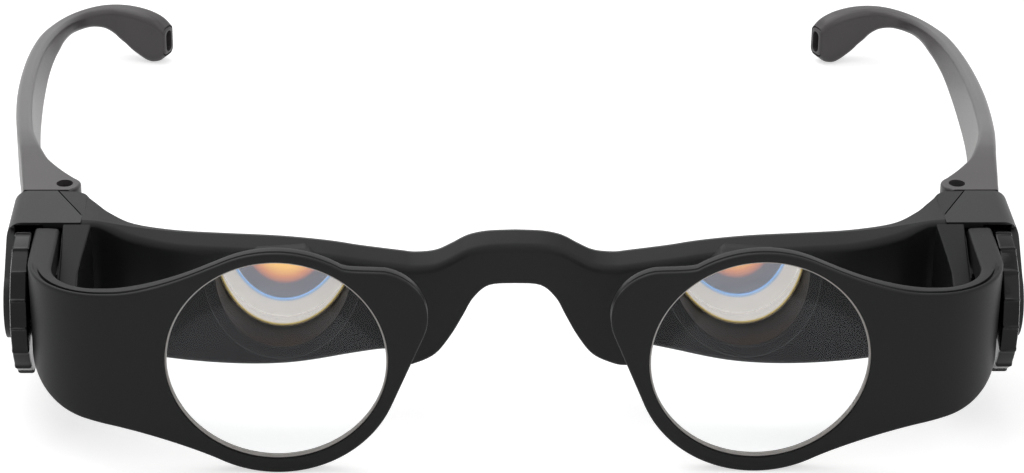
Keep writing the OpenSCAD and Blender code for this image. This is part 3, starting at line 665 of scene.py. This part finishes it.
def carrier_surface(flat, depth):
    """A carrier's wall: flat front, bend and arm, between its outer and inner faces."""
    u, z = flat.T
    turn = np.clip((u - BEND_X) / BEND_R, 0, math.pi / 2)
    past = np.maximum(u - BEND_X - BEND_R * math.pi / 2, 0)
    outer = np.column_stack([np.minimum(u, BEND_X) + BEND_R * np.sin(turn),
                             BEND_R * (1 - np.cos(turn)) + past])
    ease = np.clip((u - BEND_X + 12) / 12, 0, 1)
    ease = ease * ease * (3 - 2 * ease)
    catch = (BEND_R - INNER_Y) * np.clip(1 - past / 9, 0, 1)
    inner = np.column_stack([
        np.minimum(u, BEND_X) + (INNER_X - BEND_X) * ease + INNER_R * np.sin(turn),
        INNER_Y - INNER_R * np.cos(turn) + past + np.where(past > 0, BEND_R - INNER_Y - catch, 0)])
    return np.column_stack([outer + (inner - outer) * (depth / FRONT_WALL), z])


def carrier_outline():
    """Unrolled outline of a carrier, with its rack."""
    rim, ear = np.array(RIM), np.array(EAR)
    top_a, low_a, notch_a = 66, -62, 122
    top_p, low_p = rim + RIM_R * heading(top_a), rim + RIM_R * heading(low_a)
    to_ear = ear - rim
    nose_a = (math.degrees(math.atan2(to_ear[1], to_ear[0]))
              + math.degrees(math.acos((RIM_R - EAR_R) / np.linalg.norm(to_ear))))
    notch_p = rim + RIM_R * heading(notch_a)
    # The rim's top and the upper edge, up to the bend
    front = np.vstack([
        arc(rim, RIM_R, notch_a, top_a, 40),
        bezier(top_p, top_p + 4.5 * heading(top_a - 90), (BEND_X - 6, ARM_TOP),
               (BEND_X - 1, ARM_TOP), 24)])
    corner = (BEND_X + 3, -8.95)
    low = bezier((ARM_OUT + 0.5, -1.5), (ARM_OUT + 0.1, -5.6), (BEND_X + 8.2, -8), corner, 60)
    low = low[low[:, 0] < ARM_OUT - 0.02]
    # The lower edge from the bend, the rim, the ear and the notch between them
    rest = np.vstack([
        low,
        bezier(corner, (BEND_X - 3.5, -10.2), low_p + 3.4 * heading(low_a + 90), low_p, 24),
        arc(rim, RIM_R, low_a - 1.5, nose_a - 360, 70),
        arc(ear, EAR_R, nose_a, 100, 36),
        bezier(ear + EAR_R * heading(100), ear + (1.6, EAR_R + 0.05), notch_p + (-1.2, -0.35),
               notch_p, 12)[:-1]])
    front[:, 0], rest[:, 0] = unrolled(front[:, 0]), unrolled(rest[:, 0])
    end, step, notch = along_arm(28.2), along_arm(20.2), along_arm(13.7)
    # The arm, with the rack along its lower edge
    teeth = []
    for i in range(7, -1, -1):
        middle = along_arm(AXLE_Y) + (i - 1.5) * RACK_PITCH
        for offset, z in ((0.55, TOOTH_ROOT), (0.2, TOOTH_TIP), (-0.2, TOOTH_TIP),
                          (-0.55, TOOTH_ROOT)):
            if notch + 0.3 < middle + offset < end - 0.1:
                teeth.append((middle + offset, z))
    arm = np.array([(step, ARM_TOP), (step, ARM_END_TOP), (end, ARM_END_TOP), (end, TOOTH_ROOT)]
                   + teeth + [(notch, TOOTH_ROOT), (notch, -3.3)])
    return np.vstack([front, arm, rest])


class GLASSES_OT_carriers(bpy.types.Operator):
    """Objective carriers: front wall, wrap-round bend and rack arm"""
    bl_idname = "glasses.carriers"
    bl_label = "Objective carriers"

    def execute(self, context):
        sizes = context.scene.glasses_sizes
        material = moulding(context, "carrier")
        outline = turned(densify(carrier_outline(), 0.7), False)
        u, z = outline.T
        edge, groove = sizes.edge / MM, sizes.groove / MM
        # The groove runs along the top, from the ear to the arm, and is deepest in the bend
        up = np.clip((z - moved_in(outline, 1.0)[:, 1] - 0.15) / 0.3, 0, 1)
        fade = np.clip((BEND_X + 16 - u) / 3, 0, 1) * np.clip((u - EAR[0] + 6.8) / 3, 0, 1)
        depth = up * groove * fade * (0.4 + 0.6 * np.clip((u - BEND_X + 6) / 8, 0, 1))
        level = np.zeros(len(outline))
        # The rack's teeth keep crisp edges
        soft = np.where((u > along_arm(13.9)) & (z < 4.2), 0.05, edge)
        profile = [(inset * soft / edge, at) for inset, at in rounding(edge)]
        profile += [(level, 0.42), (depth, 0.5), (depth, 0.86), (level, 0.98), (level, 1.4)]
        profile += [(inset * soft / edge + 0.05 * up, FRONT_WALL - at)
                    for inset, at in reversed(rounding(edge))]
        # The lens opening, with a finished edge and the step that the lens rests on
        lens = arc((LENS_X, 0), OPENING_R, 0, 360, 160)[:-1]
        seat = [(0.14, 0), (0.05, 0.04), (0, 0.14), (0, 0.5), (0.37, 0.5), (0.37, FRONT_WALL)]
        for name, side in SIDES.items():
            shell = Shell().plate(outline, profile, carrier_surface, [(lens, seat)], 0.9)
            obj = link(name + "_carrier_shell", shell.mesh("carrier", side))
            # The groove in which the cheek's rail runs
            cut(obj, block((62.6, 64.65), (11.6, 40), (5.25, 6.75)).mesh("slot", side))
            shade(obj)
            dress(obj, material, name + "_objective", name + "_objective_carrier")
        return {"FINISHED"}


# Index of PMMA, and the radius where an objective's polish ends
PMMA, POLISH_R = 1.49, 14.76


def reach(node):
    """A node's front, rear and radius in drawing millimetres."""
    low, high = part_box(node)
    return low.y / MM - FRONT_Y, high.y / MM - FRONT_Y, (high.z - low.z) / 2 / MM


def sag(half, radius):
    """Sag of a spherical face."""
    return radius - math.sqrt(radius * radius - half * half)


def aspheric(half, radius=62, conic=-8):
    """Sag of an objective's face, which flattens towards its edge as conic is negative."""
    return half * half / radius / (1 + math.sqrt(1 - (1 + conic) * (half / radius) ** 2))


class GLASSES_OT_lenses(bpy.types.Operator):
    """Objective and eyepiece lenses, and the rings that hold them"""
    bl_idname = "glasses.lenses"
    bl_label = "Lenses and rings"

    def execute(self, context):
        plain = [(0, "#fcfdfd"), (10, "#fcfdfd")]
        clear = polished_lens("PMMA acrylic, objective", PMMA, 0.04, POLISH_R, 1.0, plain, plain)
        # The eyepiece's bands are painted: at the front edge a yellow colour fringe and a dark
        # shade ring; behind, a view through the lens, amber in the middle and reddening outwards,
        # then dark grey, then clear
        small = polished_lens("PMMA acrylic, eyepiece", PMMA, 0.12, 7.6, (FRONT_Y + 21.2) * MM,
                              [(6.46, "#fcfdfd"), (6.56, "#d8b23c"), (6.66, "#2e2414")],
                              [(0, "#efb04e"), (3.9, "#e8953f"), (4.5, "#a8563a"),
                               (4.9, "#3a3840"), (5.78, "#383a42"), (5.86, "#fcfdfd")])
        black = moulded_plastic("moulded ABS, rings", "#161617", 0.35, 0.15, 0.1)
        pale = glowing_acetal("moulded acetal, eyepiece ring")
        for name, side in SIDES.items():
            front, rear, radius = reach(name + "_objective_lens")
            across = radius * np.sin(np.linspace(0, math.pi / 2, 40)) ** 0.9
            across[-1] = radius - 0.08
            profile = [(r, front + aspheric(r)) for r in across]
            profile.append((radius, front + aspheric(radius) + 0.06))
            profile += [(r, front + rear - y) for r, y in reversed(profile)]
            lens = Shell().lathe(profile, 192).mesh("lens", side)
            obj = shade(link(name + "_objective_glass", lens), 30)
            dress(obj, clear, name + "_objective", name + "_objective_lens")
        for name, side in SIDES.items():
            front, rear, _ = reach(name + "_eyepiece_lens")
            radius, dish_r, sphere = 7.0, 6.0, 90.0
            dish = sag(dish_r, sphere)
            across = np.linspace(0, dish_r, 16)
            profile = [(r, front + dish - sag(r, sphere)) for r in across]
            profile += [(radius - 0.06, front), (radius, front + 0.06), (radius, rear - 0.01),
                        (radius - 0.01, rear)]
            profile += [(r, rear - dish + sag(r, sphere)) for r in across[::-1]]
            lens = Shell().lathe(profile, 128).mesh("lens", side)
            obj = shade(link(name + "_eyepiece_glass", lens), 30)
            dress(obj, small, "frame", name + "_eyepiece_lens")
            # The ring is a cup: its thin wall lines the seat, and its base holds the lens
            cup = Shell().lathe([(7.02, front + 0.02), (7.08, front + 0.02), (7.08, 23.4),
                                 (6.98, 23.5), (6.8, 23.5), (5.95, 22.6), (5.9, 22.5),
                                 (5.94, 22.44), (7.02, 22.44)], 128)
            obj = shade(link(name + "_eyepiece_cup", cup.mesh("cup", side)), 30)
            dress(obj, pale, "frame", name + "_eyepiece_ring")
            obj = shade(softened(name + "_objective_ring", 0.08, 2))
            dress(obj, black, name + "_objective", name + "_objective_ring")
        return {"FINISHED"}


# Sections of half the frame's bar: x, lower edge, upper edge, front, rear
BAR = [(x, low, top, 19.5, 23) for x, low, top in
       ((0, 1.7, 8.85), (3.6, 1.4, 8.7), (5.8, -0.6, 8.3), (7.2, -3.3, 7.75), (8.9, -6.5, 6.75),
        (11.1, -9.5, 5.7), (13.9, -11, 5.4), (16.05, -11.4, 5.65), (18.65, -10.8, 6),
        (22.05, -9.5, 6.5), (26.15, -9.4, 7.2), (32.65, -9.9, 7.9), (40.15, -10, 8.3))]
BAR += [(47.15, -9.9, 8.7, 19.6, 23.1), (53.15, -9.7, 9.45, 20.3, 23.6),
        (56.65, -9.5, 10.1, 21.2, 25.7), (58.5, -9.3, 10.42, 21.5, 27.8),
        (60.3, -9.1, 10.56, 21.1, 30.3)]
# How steeply the bar's top falls from its crest to the front
FALL = math.tan(math.radians(26))
# The eyepiece's collar: its radius, and the bore's in front of the lens and round it
COLLAR_R, BORE_R, SEAT_R = 7.95, 6.75, 7.09
# The cheek's wedge: its far side, its top at the front, and how that rises to the rear
CHEEK_OUT, CHEEK_TOP, CHEEK_RISE = 62.8, 4.78, 0.5434


def rounded_ring(corners, steps=4):
    """A ring through corners given as (point, radius), with the corners rounded."""
    ring = []
    for i, (at, radius) in enumerate(corners):
        before = unit(np.subtract(corners[i - 1][0], at))
        after = unit(np.subtract(corners[(i + 1) % len(corners)][0], at))
        half = math.acos(np.clip(before @ after, -1, 1)) / 2
        middle = at + unit(before + after) * radius / math.sin(half)
        tangent = radius / math.tan(half)
        start, end = at + before * tangent - middle, at + after * tangent - middle
        for t in np.linspace(0, 1, steps + 1):
            ring.append(middle + unit(start * (1 - t) + end * t) * radius)
    return np.array(ring)


def bar_rings():
    """Rounded sections of the frame's bar, from end to end."""
    rows = smooth_rows(BAR, 5)
    rows = np.vstack([rows[:0:-1] * (-1, 1, 1, 1, 1), rows])
    rings = []
    for x, low, top, front, rear in rows:
        # Behind its crest the top falls a little to the rear, and towards the ends it levels
        crest = max(min(rear - 0.8, 22.2), front + 0.35)
        brow = top - (crest - front) * FALL
        flat = rounded_ring([((rear, low), 0.45), ((front, low), 0.6),
                             ((front, brow), min(1.5, 1.1 * (crest - front))),
                             ((crest, top), 0.15), ((rear, top - min(0.16, rear - 22.84)), 0.2)])
        rings.append(np.insert(flat, 0, x, axis=1))
    return rings


class GLASSES_OT_frame(bpy.types.Operator):
    """Main frame with its bridge, collars, cheeks and hinge lugs"""
    bl_idname = "glasses.frame"
    bl_label = "Main frame"

    def execute(self, context):
        material = moulding(context, "frame")
        # The bar is drawn here; the ends keep the CAD's shape beyond it
        ends = softened("main_frame", 0.25)
        cut(ends, block((-55.9, 55.9), (0, 40), (-20, 20)).mesh("middle"))
        for side in SIDES.values():
            # The cheek's front slopes, and the plate's rear corner is rounded
            slope = extruded([(5, 1.6), (21.1, 10.35), (21.1, 12), (5, 12)], (58, 63), 0)
            corner = extruded([(59.9, 31.6), (62.1, 31.6), (61.6, 31.3), (61.1, 31.05),
                               (60.6, 30.65), (60.2, 30.15), (59.9, 29.7)], (-20, 20), 2)
            cut(ends, slope.mesh("slope", side), corner.mesh("corner", side))
        bar = link("frame_shell", Shell().loft(bar_rings()).mesh("frame"))
        collars = []
        for side in SIDES.values():
            bore = Shell().lathe([(0, 10), (BORE_R, 10), (BORE_R, 20), (SEAT_R, 20),
                                  (SEAT_R, 40), (0, 40)])
            cut(bar, bore.mesh("bore", side))
            collar = Shell().lathe([(BORE_R, 20.02), (BORE_R, 17.15), (BORE_R + 0.15, 17),
                                    (COLLAR_R - 0.2, 17), (COLLAR_R - 0.05, 17.06),
                                    (COLLAR_R, 17.2), (COLLAR_R, 21.9), (SEAT_R + 0.01, 21.9),
                                    (SEAT_R + 0.01, 20.02)])
            collar = link("collar", collar.mesh("collar", side))
            # Its top is trimmed to the height of the bar behind it
            top = extruded([(10, 6.95), (19.3, 6.95), (19.95, 7.25), (30, 7.25), (30, 12),
                            (10, 12)], (LENS_X - 9, LENS_X + 9), 0)
            cut(collar, top.mesh("top", side))
            collars.append(collar.data)
            # The cheek, in sections from front to rear
            rings = []
            for y, near_x in ((10.7, 60.35), (13.5, 60.3), (16, 59.9), (18.5, 59.4), (21.02, 58.9)):
                top = CHEEK_TOP + (y - 10.7) * CHEEK_RISE
                ring = rounded_ring([((near_x, 0), 0.1), ((CHEEK_OUT, 0), 0.1),
                                     ((CHEEK_OUT, top), 0.22), ((near_x, top), 0.22)])
                rings.append(np.insert(ring, 1, y, axis=1))
            collars.append(Shell().loft(rings).mesh("cheek", side))
        join(bar, ends.data, *collars)
        shade(bar)
        dress(bar, material, "frame", "main_frame")
        return {"FINISHED"}


class GLASSES_OT_covers(bpy.types.Operator):
    """Corner covers over the focus gear"""
    bl_idname = "glasses.covers"
    bl_label = "Corner covers"

    def execute(self, context):
        material = moulding(context, "cover")
        for name in SIDES:
            obj = shade(softened(name + "_corner_cover", 0.22))
            dress(obj, material, "frame", name + "_corner_cover")
        return {"FINISHED"}


def repeat_round():
    """Geometry Nodes tree that repeats one sector round an axle that lies along X."""
    tree = bpy.data.node_groups.new("repeat round an axle", "GeometryNodeTree")
    for name, kind in (("Sector", "NodeSocketGeometry"), ("Count", "NodeSocketInt"),
                       ("Axle", "NodeSocketVector"), ("Weld", "NodeSocketFloat"),
                       ("Finish", "NodeSocketMaterial")):
        tree.interface.new_socket(name, in_out="INPUT", socket_type=kind)
    tree.interface.new_socket("Wheel", in_out="OUTPUT", socket_type="NodeSocketGeometry")
    given = tree.nodes.new("NodeGroupInput").outputs
    away = add(tree, "ShaderNodeVectorMath", {0: given["Axle"], "Scale": -1.0}, operation="SCALE")
    centred = add(tree, "GeometryNodeTransform",
                  {"Geometry": given["Sector"], "Translation": away})
    line = add(tree, "GeometryNodeMeshLine", {"Count": given["Count"], "Offset": (0, 0, 0)})
    step = add(tree, "ShaderNodeMath", {0: math.tau, 1: given["Count"]}, operation="DIVIDE")
    index = add(tree, "GeometryNodeInputIndex")
    angle = add(tree, "ShaderNodeMath", {0: step, 1: index}, operation="MULTIPLY")
    turn = add(tree, "FunctionNodeAxisAngleToRotation", {"Axis": (1, 0, 0), "Angle": angle})
    copies = add(tree, "GeometryNodeInstanceOnPoints",
                 {"Points": line, "Instance": centred, "Rotation": turn})
    placed = add(tree, "GeometryNodeTransform",
                 {"Geometry": copies, "Translation": given["Axle"]})
    real = add(tree, "GeometryNodeRealizeInstances", {"Geometry": placed})
    welded = add(tree, "GeometryNodeMergeByDistance",
                 {"Geometry": real, "Distance": given["Weld"]})
    finished = add(tree, "GeometryNodeSetMaterial",
                   {"Geometry": welded, "Material": given["Finish"]})
    add(tree, "NodeGroupOutput", {"Wheel": finished})
    return tree


def repeated(name, shell, side, tree, count, material):
    """One sector, repeated round the wheel's axle and made a plain mesh."""
    obj = link(name, shell.mesh(name, side))
    step = obj.modifiers.new("repeat", "NODES")
    step.node_group = tree
    values = {"Count": count, "Axle": tuple(place([(0, AXLE_Y, 0)])[0]), "Weld": 2e-6,
              "Finish": material}
    for item in tree.interface.items_tree:
        if item.in_out == "INPUT" and item.name in values:
            step[item.identifier] = values[item.name]
    return settle(obj)


def sector(edge, profile):
    """An open sector of a wheel. The edge is (angle, radius), and the profile (x, radius,
    inset) goes round the section, with None where the edge's own radius less the inset holds."""
    shell = Shell()
    starts = []
    for angle, rim in edge:
        radii = [rim - inset if radius is None else radius for _, radius, inset in profile]
        starts.append(shell.ring([(x, AXLE_Y + r * math.cos(angle), r * math.sin(angle))
                                  for (x, _, _), r in zip(profile, radii)]))
    for first, second in zip(starts, starts[1:]):
        shell.ring_wall(first, second, len(profile))
    return shell


def mirrored(half, whole, middle=()):
    """Steps (at, value) from one end to the middle, and the same ones on to the far end."""
    return [*half, *middle, *((whole - at, value) for at, value in reversed(half))]


class GLASSES_OT_wheels(bpy.types.Operator):
    """Focus wheels with their pinions"""
    bl_idname = "glasses.wheels"
    bl_label = "Focus wheels"

    def execute(self, context):
        lobes = context.scene.glasses_sizes.lobes
        material = moulding(context, "wheel")
        tree = repeat_round()
        # Shallow hollows between fine ridges
        pitch = math.tau / lobes
        hollow = mirrored([(0, 0.03), (0.02, 0.05), (0.05, 0.22), (0.09, 0.32), (0.2, 0.37)], 1,
                          [(0.5, 0.38)])
        rim = [(math.radians(-4.3) + pitch * t, WHEEL_R - fall) for t, fall in hollow]
        disc = [(WHEEL_OUT - sunk, radius, inset) for sunk, radius, inset in
                ((0.2, AXLE_R, 0), (0.2, 1.9, 0), (0.5, 2.1, 0), (0.5, 7.3, 0), (0.06, 7.55, 0),
                 (0, 7.7, 0), (0, None, 0.4), (0.1, None, 0.12), (0.35, None, 0))]
        disc += [(WHEEL_IN + 0.35, None, 0), (WHEEL_IN + 0.1, None, 0.12), (WHEEL_IN, None, 0.4),
                 (WHEEL_IN, AXLE_R, 0)]
        tooth = [(math.radians(75 + a), r) for a, r in mirrored(
            [(0, 2.33), (6.2, 2.33), (7, 2.8), (8.1, 3.05), (9.8, 3.3), (11.7, 3.5)], 30)]
        prism = [(PINION_IN, AXLE_R, 0), (PINION_IN, None, 0.1), (PINION_IN + 0.1, None, 0),
                 (WHEEL_IN + 0.05, None, 0), (WHEEL_IN + 0.05, AXLE_R, 0)]
        for name, side in SIDES.items():
            wheel = repeated("wheel", sector(rim, disc), side, tree, lobes, material)
            pinion = repeated("pinion", sector(tooth, prism), side, tree, PINION_TEETH, material)
            join(wheel, pinion.data)
            wheel.name = name + "_wheel_shell"
            with editing(wheel.data) as work:
                bmesh.ops.recalc_face_normals(work, faces=work.faces)
            dress(shade(wheel, 30), material, name + "_wheel", name + "_focus_wheel")
        return {"FINISHED"}


# Hinge pin in plan, the tip's run from its last section, and the floor
PIN, TIP_RUN, FLOOR_Z = np.array([63.75, 34.1]), np.array([-0.9265, -0.3764]), -17.2
# Sections of a temple, from the hinge pin: out, back, thickness, low, top, rounding
TEMPLE = [(5.7, -2.1, 6.64, -7, 10.5, 0.4), (5.85, -1.2, 7.8, -7, 10.5, 0.4),
          (5.99, 0, 8.29, -7, 10.5, 0.4), (6.13, 1, 8.2, -7, 10.5, 0.4),
          (6.26, 1.9, 7.55, -7, 10.5, 0.4), (6.44, 3.2, 6.7, -6.9, 10.5, 0.4),
          (6.63, 4.6, 5.9, -6.3, 10.5, 0.45), (6.85, 6.2, 5.1, -5, 10.5, 0.5),
          (7.1, 8, 4.3, -3.1, 10.5, 0.55), (7.3, 9.4, 3.85, -1.7, 10.5, 0.6),
          (7.6, 11.5, 3.4, -0.4, 10.45, 0.65), (8, 13.9, 3.05, 0.3, 10.3, 0.7),
          (8.65, 18, 2.65, 0.45, 9.75, 0.8), (9.4, 23, 2.4, 0.3, 8.85, 0.8),
          (10.9, 34.7, 2.4, -1.2, 6.4, 0.8), (12.3, 48.2, 2.4, -3.5, 3.6, 0.8),
          (13.4, 63.8, 2.4, -5.5, 0.4, 0.8), (13.9, 78.4, 2.4, -7, -2.5, 0.8),
          (13.6, 90.7, 2.45, -8.3, -4.8, 0.8), (12.4, 99.8, 2.5, -9.4, -6.5, 0.85),
          (10.6, 105.8, 2.7, -10.2, -7.4, 0.9), (8.2, 109.2, 2.9, -10.6, -7.6, 1),
          (5.6, 111.1, 3.2, -11.3, -7.6, 1.1), (3, 112, 3.5, -12.7, -7.65, 1.2),
          (0.4, 111.95, 3.8, -14.3, -7.7, 1.3), (-2.1, 111.4, 4, -16, -7.9, 1.4),
          (-4.4, 110.7, 4, -17.1, -8.4, 1.4), (-6.3, 110, 3.8, -16.8, -9.3, 1.3),
          (-7.6, 109.4, 3.4, -15.7, -10.7, 1.1)]
TIP_ROUND, FOOT_LEAN, TIP_SIDE = 0.6, 1.15, np.array([-TIP_RUN[1], TIP_RUN[0]])


def stood(flat, base, side):
    """A flat ring, stood up on a base in plan with its first coordinate along side."""
    return np.column_stack([base + np.outer(flat[:, 0], side), flat[:, 1]])


def temple_rings():
    """Rounded sections across a temple, from its hinge to its tip."""
    rows = smooth_rows(TEMPLE, 5)
    rows[:, 3] = np.maximum(rows[:, 3], FLOOR_Z)
    runs = unit(np.gradient(rows[:, :2], axis=0))
    # Across the root the sections stay square to the hinge, and turn with the arm beyond it
    share = np.clip((rows[:, 1] - 8) / 12, 0, 1)[:, None]
    share = np.where(rows[:, :1] < 8, np.maximum(share, rows[:, 1:2] > 60), share)
    across = unit(np.column_stack([-runs[:, 1], runs[:, 0]]) * share + (share - 1) * (1, 0))
    rings = []
    sections = [(row, at, 0.0, 0.0) for row, at in zip(rows, across)]
    for a in np.radians((25, 50, 70, 85)):
        sections.append((rows[-1], across[-1], TIP_ROUND * math.sin(a),
                         TIP_ROUND * (1 - math.cos(a))))
    for (out, back, thick, low, top, radius), side, ahead, inset in sections:
        # The arm's inner face leans, so that its foot is the thicker part
        lean = FOOT_LEAN * np.clip((back - 12) / 8, 0, 1) * np.clip((104 - back) / 12, 0, 1)
        radius = max(min(radius, thick / 2 - 0.05, (top - low) / 2 - 0.05) - inset, 0.1)
        near_s, far_s, low, top = inset, thick - inset, low + inset, top - inset
        flat = rounded_ring([((far_s, top), radius), ((near_s, top), radius),
                             ((near_s, low), radius), ((far_s + lean, low), radius)], 6)
        base = PIN + (out, back) + TIP_RUN * (ahead - (TIP_ROUND if ahead else 0.0))
        rings.append(stood(flat, base, side))
    # The last full section moves back, so that the rounded end keeps its length
    rings[len(rows) - 1][:, :2] -= TIP_RUN * TIP_ROUND
    return rings


class GLASSES_OT_temples(bpy.types.Operator):
    """Temples with their curved arms and tips"""
    bl_idname = "glasses.temples"
    bl_label = "Temples"

    def execute(self, context):
        material = moulding(context, "temple")
        end = PIN + TEMPLE[-1][:2] + TIP_SIDE * 1.7
        for name, side in SIDES.items():
            obj = link(name + "_temple_shell",
                       Shell().loft(temple_rings()).mesh("temple", side))
            slot = block((PIN[0] - 10, PIN[0] + 2.5), (28, PIN[1] + 2.5), (-3.4, 4.2))
            bore = Shell().lathe([(0, -20), (0.77, -20), (0.77, 8.78), (1.17, 8.78), (1.17, 20),
                                  (0, 20)], 48, (*PIN, 0), "z")
            # The recess in the tip
            ring = rounded_ring([(corner, 0.88) for corner in
                                 ((0.9, 1.9), (-0.9, 1.9), (-0.9, -1.9), (0.9, -1.9))], 6)
            oval = [stood(ring - (0, 13.2), end + TIP_RUN * along, TIP_SIDE)
                    for along in (-2.4, 1.5)]
            cut(obj, slot.mesh("slot", side), bore.mesh("bore", side),
                Shell().loft(oval).mesh("oval", side))
            dress(shade(obj), material, name + "_arm", name + "_temple")
        return {"FINISHED"}


class GLASSES_OT_screws(bpy.types.Operator):
    """Axle screws, hinge screws and the covers' fixing screws"""
    bl_idname = "glasses.screws"
    bl_label = "Screws"

    def execute(self, context):
        steel = blackened_steel("blackened steel, screws", "#6a6a6e")
        pieces = [("cover_screws", "frame")]
        pieces += [(side + "_wheel_axle", "frame") for side in SIDES]
        pieces += [(side + "_hinge_screw", side + "_arm") for side in SIDES]
        for node, body in pieces:
            dress(shade(softened(node, 0.06, 2)), steel, body, node)
        return {"FINISHED"}


OPERATORS = (GLASSES_OT_stage, GLASSES_OT_frame, GLASSES_OT_carriers, GLASSES_OT_lenses,
             GLASSES_OT_covers, GLASSES_OT_wheels, GLASSES_OT_temples, GLASSES_OT_screws)


class GLASSES_PT_panel(bpy.types.Panel):
    bl_label = "Binocular glasses"
    bl_idname = "GLASSES_PT_panel"
    bl_space_type = "VIEW_3D"
    bl_region_type = "UI"
    bl_category = "Glasses"

    def draw(self, context):
        for group in (getattr(context.scene, name) for name in GROUPS):
            box = self.layout.box()
            for name in group.__annotations__:
                box.prop(group, name)
        for operator in OPERATORS:
            self.layout.operator(operator.bl_idname)


GROUPS = {"glasses_sizes": GlassesSizes, "glasses_colours": GlassesColours,
          "glasses_stage": GlassesStage}
CLASSES = (*GROUPS.values(), *OPERATORS, GLASSES_PT_panel)


def register():
    for cls in CLASSES:
        bpy.utils.register_class(cls)
    for name, group in GROUPS.items():
        setattr(bpy.types.Scene, name, bpy.props.PointerProperty(type=group))


def unregister():
    for name in GROUPS:
        delattr(bpy.types.Scene, name)
    for cls in reversed(CLASSES):
        bpy.utils.unregister_class(cls)


def main():
    register()
    for operator in OPERATORS:
        group, name = operator.bl_idname.split(".")
        getattr(getattr(bpy.ops, group), name)()


if __name__ == "__main__":
    main()
